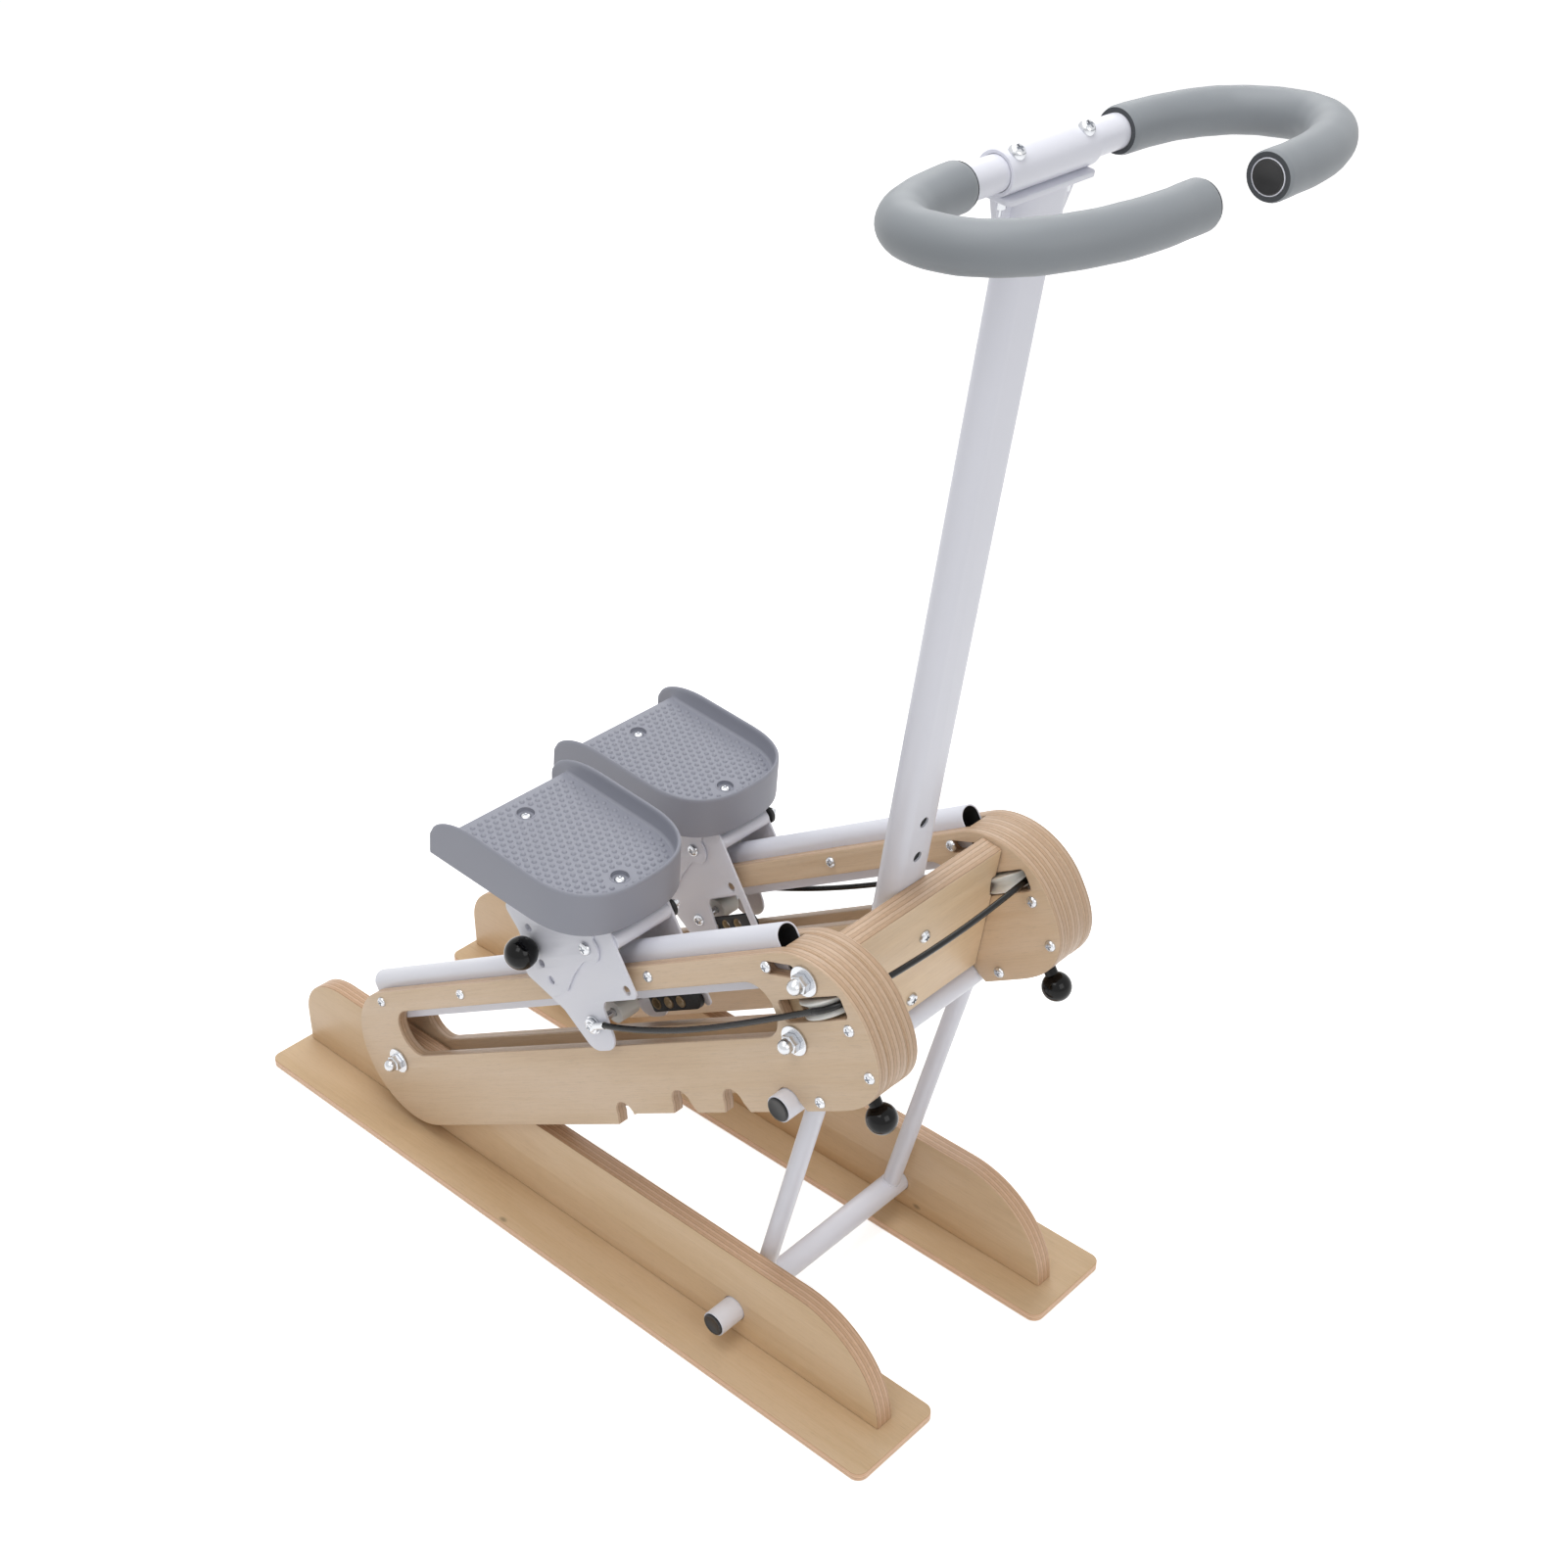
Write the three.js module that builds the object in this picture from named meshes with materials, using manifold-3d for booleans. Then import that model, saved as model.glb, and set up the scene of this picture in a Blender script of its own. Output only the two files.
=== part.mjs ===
// Inclined plywood stepper. Millimetres, +Y points forward (the way the user faces), +X is the
// user's right and +Z is up. The origin lies on the floor, midway between the two base boards.
import * as THREE from 'three';
import { mergeVertices } from 'three/addons/utils/BufferGeometryUtils.js';
import Module from 'manifold-3d';

const wasm = await Module();
wasm.setup();

// Gaps and cuts shared by all pieces
const gap = 0.3;
const overrun = 5;

// Base boards and fins
const boardLength = 876;
const boardWidth = 108;
const boardThickness = 9;
const boardCornerRadius = 11;
const boardOffset = 9;
const finThickness = 20;
const finHeight = 98;
const finFrontSetback = 24;
const finRearSetback = 7;
const finFrontReach = 101;
const finRearReach = 68;
const finRearRise = 58;

// The origin lies on the floor under the middle of the overall length, ahead of the boards' middle
const originAhead = 74.2;

// Place of the two tracks
const trackHalfGauge = 122;
const trackSlope = 30.6;
const pivotSetback = 193;
const pivotHeight = 79;

// Track panels, in the track's own frame: u runs up the slope from the rear pivot, v is square to it
const panelThickness = 12;
const panelSpace = 25;
const panelHalfHeight = 79;
const panelNoseDrop = 68;
const panelRearCentre = 18;
const noseCentreU = 679;
const noseCentreV = 4;
const noseReach = 75;
const noseLowerPower = 2.6;
const windowRear = 29;
const windowFront = 651;
const windowLow = 3;
const windowHigh = 55;
const windowRearRadius = 25;
const windowFrontRadius = 14;
const pulleyWindowRear = 660;
const pulleyWindowFront = 738;
const pulleyWindowHeight = 21;
const slotRearU = 664;
const slotRearV = 66;
const slotFrontU = 694;
const slotFrontV = 60;
const slotWidth = 12;

// Notches for the top bar of the prop
const notchPositions = [372, 467, 543, 620];
const notchDepthV = 58;
const firstNotchDrop = 11;
const notchFlare = 5;
const notchClearance = 0.5;

// Nose block
const noseBlockRear = 655;
const noseBlockStep = 683;

// Rail
const railWidth = 24;
const railWall = 1.5;
const railTop = 95;
const railLow = 43;
const railRear = -2;
const railFront = 676;

// Tube of the prop and of the handlebar
const tubeRadius = 12.7;
const tubeWall = 1.5;
const capLength = 14;
const capHead = 2;

// Prop
const propBarAhead = 478;
const propBarDrop = 49;
const propBarOverhang = 38;
const propLegInset = 24;
const propLegRadius = 9;
const propBoreClearance = 0.4;

// Rear pivot bolts, long rods of the beam and their nuts
const pivotBoltRadius = 6;
const beamRodRadius = 5;
const washerRadius = 14;
const washerThickness = 2;
const nutRadius = 9;
const nutThickness = 8;
const nutDome = 9;
const boreClearance = 0.3;

// Cross beam, column and the bolts through both
const beamThickness = 22;
const beamHeight = 137;
const beamFoot = -65;
const beamU = 669.5;
const beamV = 8.6;
const beamRodPositions = [-12, 56];
const columnLean = 9;
const columnWidth = 50;
const columnDepth = 25;
const columnWall = 2;
const holePitch = 37.5;
const holeRadius = 5.2;
const spareHoles = 3;
const columnBoltRadius = 3.9;
const columnBoltHigh = 26.5;
const boltHeadRadius = 6.5;
const boltHeadHeight = 4;

// Handlebar and its bracket
const sleeveHalfLength = 50;
const sleeveWall = 2.8;
const sleeveHeight = 712.9;
const columnTopDrop = 26;
const flangeThickness = 4;
const flangeWidth = 32;
const socketLength = 46;
const socketWall = 2.5;
const gussetThickness = 5;
const barTilt = 3;
const barHalfWidth = 195;
const barDepth = 152;
const barStraight = 68;
const barRearPower = 2.6;
const barGapHalf = 39;
const foamRadius = 17.5;
const plugLength = 16;
const plugHead = 1.5;

// Carriage, measured from its pivot bolt in the track's own frame
const rightCarriageU = 445;
const leftCarriageU = 322;
const rollerWaist = 11.7;
const rollerHalfWidth = 13.5;
const rollerGrooveHalf = 10.5;
const rearAxleBack = 62;
const lowerRollerHalfWidth = 11.5;
const lowerAxleBack = 42;
const lowerRollerRadius = 11.7;
const sidePlateHalf = 33;
const sidePlateThickness = 2.5;
const spacerTubeU = 36;
const spacerTubeV = 1;
const spacerTubeRadius = 8;
const axleRadius = 4;
const axleHeadRadius = 7;
const axleHeadHeight = 4;
const plateFront = 40;
const innerPlateFront = 44;
const plateShoulder = 20;
const plateTop = 54;
const plateRear = 104;
const plateWaist = 7;
const plateHeel = 13;
const tongueWidth = 9;
const tongueDrop = 96;
const lobeRadius = 20;
const eyeHoleU = 28;
const eyeHoleV = -45;
const eyeHoleRadius = 5;

// Rubber buffer
const bufferRear = 36;
const bufferFront = 38;
const bufferDrop = 87;
const bufferHalfHeight = 9;
const bufferThickness = 6.5;
const bufferHoleRadius = 6;
const bufferHolePitch = 18.7;
const bufferHoles = 3;

// Pedal and its bracket
const pedalSlope = 6;
const pedalBack = 61.4;
const pedalRise = 124;
const pedalHalfWidth = 77;
const pedalWall = 4;
const pedalFloorThickness = 4;
const pedalRearEdge = 24;
const pedalToe = 161;
const pedalRim = 21;
const pedalSkirt = 25;
const pedalLipSkirt = 32;
const pedalToePower = 2.6;
const pedalLipStart = 22;
const pedalLipBack = 45;
const pedalScrewPitch = 125;
const pedalScrewHole = 7;
const bracketThickness = 2.5;
const bracketTopRear = 14;
const bracketTopFront = 132;
const bracketLobe = 16;
const tiltHoleRadius = 80;
const tiltHolePitch = 13;
const tiltHoleAngle = 174;
const tiltHolesAbove = 1;
const tiltHolesBelow = 2;
const tiltHoleSize = 4.3;
const tiltPinRadius = 4;
const tiltPinLift = 3.4;
const tiltCollarRadius = 11.5;
const tiltCollarLength = 0.6;
const tiltKnobRadius = 16;
const knobRadius = 14;

// Nose knob
const noseKnobU = 698;
const noseKnobDrop = 88;
const noseKnobStem = 4;
const noseKnobDepth = 26;
const knobNeckRadius = 6.5;

// Pulley and cable
const pulleyU = 705;
const pulleyDrop = 3.5;
const pulleyCableRadius = 28;
const pulleyRim = 30.5;
const pulleyHalfThickness = 7;
const pulleyPocket = 1;
const pulleyAxleRadius = 4;
const pulleyAxleReach = 18;
const cableRadius = 2.5;
const eyeRadius = 9;
const eyeThickness = 5;
const ferruleLength = 22;
const ferruleRadius = 4;

const degrees = Math.PI / 180;
const quarterTurn = 90;
const propBarHalfLength = trackHalfGauge + propBarOverhang;
const propLegX = trackHalfGauge - propLegInset;
const columnTop = sleeveHeight - columnTopDrop;
const colours = {
  board: 0xc9a676, fin: 0xc2a27c, panel: 0xd2b48c, block: 0xc09a70, white: 0xdcdde4,
  steel: 0xb9bcc0, black: 0x17171a, foam: 0x85898d, pedal: 0x9496a2, rubber: 0x1c1b1d, cable: 0x202024,
};

function materialOf(colour, roughness, metalness) {
  return new THREE.MeshStandardMaterial({ color: colour, roughness, metalness });
}

// Closed solids for cutting and joining
function solidOf(geometry) {
  const plain = geometry.index ? geometry.toNonIndexed() : geometry.clone();
  plain.deleteAttribute('normal');
  plain.deleteAttribute('uv');
  const merged = mergeVertices(plain, 1e-4);
  return new wasm.Manifold(new wasm.Mesh({
    numProp: 3,
    vertProperties: new Float32Array(merged.attributes.position.array),
    triVerts: new Uint32Array(merged.index.array),
  }));
}

function geometryOf(solid) {
  const mesh = solid.getMesh();
  const geometry = new THREE.BufferGeometry();
  geometry.setAttribute('position', new THREE.BufferAttribute(new Float32Array(mesh.vertProperties), 3));
  geometry.setIndex(new THREE.BufferAttribute(new Uint32Array(mesh.triVerts), 1));
  geometry.computeVertexNormals();
  return geometry;
}

function cut(body, tools) {
  let solid = solidOf(body);
  for (const tool of tools) solid = solid.subtract(solidOf(tool));
  return geometryOf(solid);
}

function join(pieces) {
  let solid = solidOf(pieces[0]);
  for (const piece of pieces.slice(1)) solid = solid.add(solidOf(piece));
  return geometryOf(solid);
}

// The mirror image of a geometry across the plane x = 0
function mirrored(geometry) {
  const copy = geometry.index ? geometry.toNonIndexed() : geometry.clone();
  const position = copy.attributes.position;
  for (let start = 0; start < position.count; start += 3) {
    const corners = [0, 2, 1].map((offset) => new THREE.Vector3().fromBufferAttribute(position, start + offset));
    corners.forEach((corner, offset) => position.setXYZ(start + offset, -corner.x, corner.y, corner.z));
  }
  copy.computeVertexNormals();
  return copy;
}

// A flat piece: its outline lies in the (y, z) plane and it is thick along x from xLow to xHigh
function slab(shape, xLow, xHigh, curveSegments = 12) {
  const geometry = new THREE.ExtrudeGeometry(shape, {
    depth: xHigh - xLow, bevelEnabled: false, curveSegments, steps: 1,
  });
  const turn = new THREE.Matrix4().makeBasis(
    new THREE.Vector3(0, 1, 0), new THREE.Vector3(0, 0, 1), new THREE.Vector3(1, 0, 0),
  );
  geometry.applyMatrix4(turn);
  geometry.translate(xLow, 0, 0);
  return geometry;
}

// A shape through the given points, always listed counter-clockwise
function outline(points) {
  const corners = points.map(([y, z]) => new THREE.Vector2(y, z));
  return new THREE.Shape(THREE.ShapeUtils.isClockWise(corners) ? corners.reverse() : corners);
}


function arcPoints(centreY, centreZ, radiusY, radiusZ, fromDegrees, toDegrees, count, power = 2) {
  const points = [];
  for (let step = 0; step <= count; step += 1) {
    const angle = (fromDegrees + ((toDegrees - fromDegrees) * step) / count) * degrees;
    const along = Math.sign(Math.cos(angle)) * Math.abs(Math.cos(angle)) ** (2 / power);
    const across = Math.sign(Math.sin(angle)) * Math.abs(Math.sin(angle)) ** (2 / power);
    points.push([centreY + radiusY * along, centreZ + radiusZ * across]);
  }
  return points;
}

// A round hole whose flats just touch the given radius
function addRoundHole(shape, y, z, radius, sides = 10) {
  const corner = radius / Math.cos(Math.PI / sides);
  const points = arcPoints(y, z, corner, corner, 0, 360, sides).slice(1);
  shape.holes.push(new THREE.Path(points.map(([py, pz]) => new THREE.Vector2(py, pz))));
}

// A box given by its limits
function block(xLow, xHigh, yLow, yHigh, zLow, zHigh) {
  const geometry = new THREE.BoxGeometry(xHigh - xLow, yHigh - yLow, zHigh - zLow);
  geometry.translate((xLow + xHigh) / 2, (yLow + yHigh) / 2, (zLow + zHigh) / 2);
  return geometry;
}

// A turned piece along x, y or z: the profile lists [radius, place along the axis]
function turned(profile, axis, segments = 24) {
  const points = profile.map(([radius, place]) => new THREE.Vector2(radius, place));
  const geometry = new THREE.LatheGeometry(points, segments);
  if (axis === 'x') geometry.rotateZ(-Math.PI / 2);
  if (axis === 'z') geometry.rotateX(Math.PI / 2);
  return geometry;
}

function rod(radius, from, to, axis, segments = 24) {
  return turned([[0, from], [radius, from], [radius, to], [0, to]], axis, segments);
}

// A cutting tool for a round bore, with its flats on the given radius
function bore(radius, from, to, axis, segments = 12) {
  return rod(radius / Math.cos(Math.PI / segments), from, to, axis, segments);
}

function placed(geometry, x, y, z) {
  geometry.translate(x, y, z);
  return geometry;
}

const model = new THREE.Group();
const root = new THREE.Group();
root.position.y = -originAhead;
model.add(root);
const track = new THREE.Group();
const pivotY = -boardLength / 2 + pivotSetback;
const pivotZ = boardThickness + pivotHeight;
track.position.set(0, pivotY, pivotZ);
track.rotation.x = trackSlope * degrees;
root.add(track);

function addNode(parent, name, geometry, material) {
  const mesh = new THREE.Mesh(geometry, material);
  mesh.name = name;
  parent.add(mesh);
  return mesh;
}

// A piece of the right-hand side and its mirror image on the left
function addPair(parentOf, name, geometry, material) {
  addNode(parentOf(1), `${name}_right`, geometry, material);
  addNode(parentOf(-1), `${name}_left`, mirrored(geometry), material.clone());
}

const sideGroups = { 1: new THREE.Group(), '-1': new THREE.Group() };
const sideTracks = { 1: new THREE.Group(), '-1': new THREE.Group() };
for (const side of [1, -1]) {
  sideGroups[side].position.x = side * trackHalfGauge;
  sideTracks[side].position.x = side * trackHalfGauge;
  root.add(sideGroups[side]);
  track.add(sideTracks[side]);
}
const onBase = (side) => sideGroups[side];
const onTrack = (side) => sideTracks[side];

// Base board: a thin plate with round corners, set a little outboard of its fin
function boardGeometry() {
  const halfWidth = boardWidth / 2;
  const halfLength = boardLength / 2;
  const corner = boardCornerRadius;
  const points = [];
  [[1, 1], [-1, 1], [-1, -1], [1, -1]].forEach(([sideX, sideY], index) => {
    const centreX = sideX * (halfWidth - corner) + boardOffset;
    const centreY = sideY * (halfLength - corner);
    const start = index * quarterTurn;
    points.push(...arcPoints(centreX, centreY, corner, corner, start, start + quarterTurn, 5));
  });
  return new THREE.ExtrudeGeometry(outline(points), { depth: boardThickness, bevelEnabled: false });
}

// Fin: an upright plate with a quarter-round front end and a rounded rear bump
const propBarY = pivotY + propBarAhead;
const propBarZ = pivotZ - propBarDrop;

function finGeometry() {
  const low = boardThickness + gap;
  const high = low + finHeight;
  const front = boardLength / 2 - finFrontSetback;
  const rear = -boardLength / 2 + finRearSetback;
  const rearShoulder = high - finRearRise;
  const points = [
    [rear, low],
    [front, low],
    ...arcPoints(front - finFrontReach, low, finFrontReach, finHeight, 0, 90, 10).slice(1),
    ...arcPoints(rear + finRearReach, rearShoulder, finRearReach, finRearRise, 90, 180, 7),
  ];
  const shape = outline(points);
  addRoundHole(shape, pivotY, pivotZ, pivotBoltRadius + boreClearance);
  addRoundHole(shape, propBarY, propBarZ, tubeRadius + propBoreClearance);
  return slab(shape, -finThickness / 2, finThickness / 2);
}

addPair(onBase, 'base_board', boardGeometry(), materialOf(colours.board, 0.55, 0));
addPair(onBase, 'base_fin', finGeometry(), materialOf(colours.fin, 0.55, 0));

// A bolt or rod along x with a washer and a domed cap nut at each end
function cappedRod(radius, halfLength, segments = 10) {
  const nutBase = halfLength + gap + washerThickness;
  const nutTop = nutBase + nutThickness;
  const right = [
    [radius, halfLength + gap], [washerRadius, halfLength + gap], [washerRadius, nutBase],
    [nutRadius, nutBase], [nutRadius, nutTop], [nutDome, nutTop + nutDome / 2], [0, nutTop + nutDome],
  ];
  const left = right.map(([r, x]) => [r, -x]).reverse();
  return turned([...left, ...right], 'x', segments);
}

const panelHalfTotal = panelSpace / 2 + panelThickness;
const pivotBolt = placed(cappedRod(pivotBoltRadius, panelHalfTotal), 0, pivotY, pivotZ);
addPair(onBase, 'rear_pivot_bolt', pivotBolt, materialOf(colours.steel, 0.25, 0.9));

// Prop: bottom bar through the fins, top bar in the notches and two legs between them
const slopeSin = Math.sin(trackSlope * degrees);
const slopeCos = Math.cos(trackSlope * degrees);
const seatU = notchPositions[notchPositions.length - 1];
const seatV = -notchDepthV;
const topBarY = pivotY + seatU * slopeCos - seatV * slopeSin;
const topBarZ = pivotZ + seatU * slopeSin + seatV * slopeCos;
const propRun = topBarY - propBarY;
const propHeight = topBarZ - propBarZ;
const propLength = Math.hypot(propRun, propHeight);
const propLean = Math.atan2(propRun, propHeight);

function propGeometry() {
  const bar = (place) => placed(rod(tubeRadius, -propBarHalfLength, propBarHalfLength, 'x', 12), 0, 0, place);
  const leg = (side) => placed(rod(propLegRadius, 0, propLength, 'z', 12), side * propLegX, 0, 0);
  const endBore = (side, place) => {
    const inner = tubeRadius - tubeWall;
    const end = side * propBarHalfLength;
    const depth = capLength + gap;
    const low = Math.min(end - side * depth, end + side * overrun);
    const high = Math.max(end - side * depth, end + side * overrun);
    return placed(bore(inner, low, high, 'x'), 0, 0, place);
  };
  const frame = join([bar(0), bar(propLength), leg(1), leg(-1)]);
  return cut(frame, [endBore(1, 0), endBore(-1, 0), endBore(1, propLength), endBore(-1, propLength)]);
}

const prop = new THREE.Group();
prop.position.set(0, propBarY, propBarZ);
prop.rotation.x = -propLean;
root.add(prop);
addNode(prop, 'prop_frame', propGeometry(), materialOf(colours.white, 0.35, 0.1));

// Push-in end cap of a prop bar: a plug with a thin head over the tube's end
function capGeometry() {
  const plug = tubeRadius - tubeWall - gap;
  const end = propBarHalfLength;
  const profile = [[0, end - capLength], [plug, end - capLength], [plug, end + gap],
    [tubeRadius, end + gap], [tubeRadius, end + gap + capHead], [0, end + gap + capHead]];
  return turned(profile, 'x', 12);
}

addPair(() => prop, 'prop_cap_bottom', capGeometry(), materialOf(colours.black, 0.5, 0));
addPair(() => prop, 'prop_cap_top', placed(capGeometry(), 0, 0, propLength), materialOf(colours.black, 0.5, 0));

// Outline of a track panel, with its notches; legSlant widens each notch behind for a prop leg
const seatRadius = tubeRadius + notchClearance;
const legAngle = 90 - trackSlope - propLean / degrees;

function notchPoints(position, drop, legSlant) {
  const centre = -notchDepthV - drop;
  const edge = drop > 0 ? -panelHalfHeight : -panelNoseDrop;
  const front = [[position + seatRadius + notchFlare, -panelNoseDrop]];
  if (legSlant) {
    const tangent = (legAngle + 90) * degrees;
    const touchU = position + seatRadius * Math.cos(tangent);
    const touchV = centre + seatRadius * Math.sin(tangent);
    const run = (touchV - edge) / Math.tan(legAngle * degrees);
    return [...front, ...arcPoints(position, centre, seatRadius, seatRadius, 0, legAngle + 90, 6),
      [touchU - run, edge]];
  }
  return [...front, ...arcPoints(position, centre, seatRadius, seatRadius, 0, 180, 6),
    [position - seatRadius - notchFlare, edge]];
}

function panelOutline(legSlant) {
  const points = [
    ...arcPoints(panelRearCentre, 0, panelHalfHeight, panelHalfHeight, -90, -270, 10).reverse(),
  ].reverse();
  const top = [
    ...arcPoints(noseCentreU, noseCentreV, noseReach, panelHalfHeight - noseCentreV, 90, 0, 7),
    ...arcPoints(noseCentreU, noseCentreV, noseReach, panelNoseDrop + noseCentreV, 0, -90, 7, noseLowerPower).slice(1),
  ];
  const teeth = [];
  for (const position of notchPositions.slice(1).reverse()) teeth.push(...notchPoints(position, 0, legSlant));
  teeth.push(...notchPoints(notchPositions[0], firstNotchDrop, legSlant));
  return outline([...points, ...top, ...teeth]);
}

function roundedWindow(yLow, yHigh, zLow, zHigh, rearRadius, frontRadius) {
  const points = [
    ...arcPoints(yHigh - frontRadius, zHigh - frontRadius, frontRadius, frontRadius, 0, 90, 3),
    ...arcPoints(yLow + rearRadius, zHigh - rearRadius, rearRadius, rearRadius, 90, 180, 3),
    ...arcPoints(yLow + rearRadius, zLow + rearRadius, rearRadius, rearRadius, 180, 270, 3),
    ...arcPoints(yHigh - frontRadius, zLow + frontRadius, frontRadius, frontRadius, 270, 360, 3),
  ];
  return new THREE.Path(points.map(([y, z]) => new THREE.Vector2(y, z)));
}

// Places of the long rods, worked out from the leaning beam
const beamTurn = -(trackSlope + columnLean) * degrees;
const rodPlaces = beamRodPositions.map((along) => [
  beamU - Math.sin(beamTurn) * along,
  beamV + Math.cos(beamTurn) * along,
]);
const pulleyV = (windowLow + windowHigh) / 2 - pulleyDrop;
const pulleyWindowLow = pulleyV - pulleyWindowHeight / 2;
const pulleyWindowHigh = pulleyV + pulleyWindowHeight / 2;

function panelGeometry(legSlant, withSlot, xLow, xHigh) {
  const shape = panelOutline(legSlant);
  shape.holes.push(roundedWindow(windowRear, windowFront, windowLow, windowHigh, windowRearRadius, windowFrontRadius));
  shape.holes.push(roundedWindow(pulleyWindowRear, pulleyWindowFront, pulleyWindowLow, pulleyWindowHigh,
    cableRadius / 2, cableRadius / 2));
  addRoundHole(shape, 0, 0, pivotBoltRadius + boreClearance);
  for (const [u, v] of rodPlaces) addRoundHole(shape, u, v, beamRodRadius + boreClearance);
  if (withSlot) {
    const tilt = Math.atan2(slotFrontV - slotRearV, slotFrontU - slotRearU) / degrees;
    const slot = [
      ...arcPoints(slotFrontU, slotFrontV, slotWidth / 2, slotWidth / 2, tilt + 90, tilt - 90, 5),
      ...arcPoints(slotRearU, slotRearV, slotWidth / 2, slotWidth / 2, tilt + 270, tilt + 90, 5),
    ];
    shape.holes.push(new THREE.Path(slot.map(([y, z]) => new THREE.Vector2(y, z))));
  }
  return slab(shape, xLow, xHigh, 8);
}

const panelInner = panelSpace / 2;
addPair(onTrack, 'outer_panel', panelGeometry(false, true, panelInner, panelHalfTotal), materialOf(colours.panel, 0.5, 0));
addPair(onTrack, 'inner_panel', panelGeometry(true, true, -panelHalfTotal, -panelInner), materialOf(colours.panel, 0.5, 0));

// Nose block: fills the space between the panels at the front, with a slot for the pulley
function noseBlockGeometry() {
  const top = arcPoints(noseCentreU, noseCentreV, noseReach, panelHalfHeight - noseCentreV, 90, 0, 7)
    .filter(([u]) => u > noseBlockStep);
  const bottom = arcPoints(noseCentreU, noseCentreV, noseReach, panelNoseDrop + noseCentreV, 0, -90, 7, noseLowerPower)
    .slice(1);
  const stepTop = noseCentreV + (panelHalfHeight - noseCentreV)
    * Math.sqrt(1 - ((noseBlockStep - noseCentreU) / noseReach) ** 2);
  const shape = outline([
    [noseBlockRear, -panelNoseDrop], [noseBlockRear, railLow - gap], [noseBlockStep, railLow - gap],
    [noseBlockStep, stepTop], ...top, ...bottom,
  ]);
  for (const [u, v] of rodPlaces) addRoundHole(shape, u, v, beamRodRadius + boreClearance);
  const half = panelInner - gap;
  const body = slab(shape, -half, half, 8);
  const slotRear = pulleyU - pulleyRim - cableRadius;
  return cut(body, [
    block(-half - overrun, half + overrun, slotRear, pulleyWindowFront, pulleyWindowLow, pulleyWindowHigh),
    placed(bore(pulleyAxleRadius + boreClearance, pulleyV - pulleyAxleReach - gap, pulleyV + pulleyAxleReach + gap, 'z', 10),
      0, pulleyU, 0),
    placed(bore(noseKnobStem + boreClearance, -panelNoseDrop - overrun, -panelNoseDrop + noseKnobDepth + gap, 'z', 10),
      0, noseKnobU, 0),
  ]);
}

addPair(onTrack, 'nose_block', noseBlockGeometry(), materialOf(colours.block, 0.6, 0));

// Rail: an arch-topped channel, open below and at its ends
function railGeometry() {
  const outer = railWidth / 2;
  const inner = outer - railWall;
  const centre = railTop - outer;
  const points = [
    [outer, railLow], ...arcPoints(0, centre, outer, outer, 0, 180, 12), [-outer, railLow],
    [-inner, railLow], ...arcPoints(0, centre, inner, inner, 180, 0, 12), [inner, railLow],
  ];
  const geometry = new THREE.ExtrudeGeometry(outline(points), {
    depth: railFront - railRear, bevelEnabled: false,
  });
  geometry.rotateX(Math.PI / 2);
  geometry.translate(0, railFront, 0);
  return geometry;
}

addPair(onTrack, 'rail', railGeometry(), materialOf(colours.white, 0.35, 0.1));

// Pulley with its own axle, turning about an axis square to the track
function pulleyGeometry() {
  const groove = pulleyCableRadius - cableRadius - 2 * gap;
  const half = pulleyHalfThickness;
  const reach = pulleyAxleReach;
  const profile = [
    [0, -reach], [pulleyAxleRadius, -reach], [pulleyAxleRadius, -half], [pulleyRim, -half],
    [pulleyRim, -half + gap], [groove, -cableRadius / 2], [groove, cableRadius / 2],
    [pulleyRim, half - gap], [pulleyRim, half], [pulleyAxleRadius, half], [pulleyAxleRadius, reach], [0, reach],
  ];
  return placed(turned(profile, 'z', 18), 0, pulleyU, pulleyV);
}

addPair(onTrack, 'pulley', pulleyGeometry(), materialOf(colours.white, 0.4, 0));

// Ball knob on a stem that screws up into the nose block
function knobProfile(stemFrom, neckFrom, ballCentre) {
  const direction = Math.sign(ballCentre - stemFrom);
  const steps = 5;
  const profile = [[0, stemFrom], [noseKnobStem, stemFrom], [noseKnobStem, neckFrom], [knobNeckRadius, neckFrom]];
  const start = Math.asin(knobNeckRadius / knobRadius);
  for (let step = 0; step <= steps; step += 1) {
    const angle = start + ((Math.PI - start) * step) / steps;
    const radius = step === steps ? 0 : knobRadius * Math.sin(angle);
    profile.push([radius, ballCentre - direction * knobRadius * Math.cos(angle)]);
  }
  return direction > 0 ? profile : profile.reverse();
}

const noseKnob = turned(
  knobProfile(-panelNoseDrop + noseKnobDepth, -panelNoseDrop - gap, -noseKnobDrop), 'z', 12,
);
addPair(onTrack, 'nose_knob', placed(noseKnob, 0, noseKnobU, 0), materialOf(colours.black, 0.2, 0));

// Cross beam, in a frame whose z runs up the leaning column and whose y points out of its front
const leaning = new THREE.Group();
leaning.position.set(0, beamU, beamV);
leaning.rotation.x = beamTurn;
track.add(leaning);
const beamHalfLength = trackHalfGauge - panelHalfTotal - gap;
const columnY = -(beamThickness + columnDepth) / 2 - gap;
const columnBolts = [columnBoltHigh, columnBoltHigh - 2 * holePitch];

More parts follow.
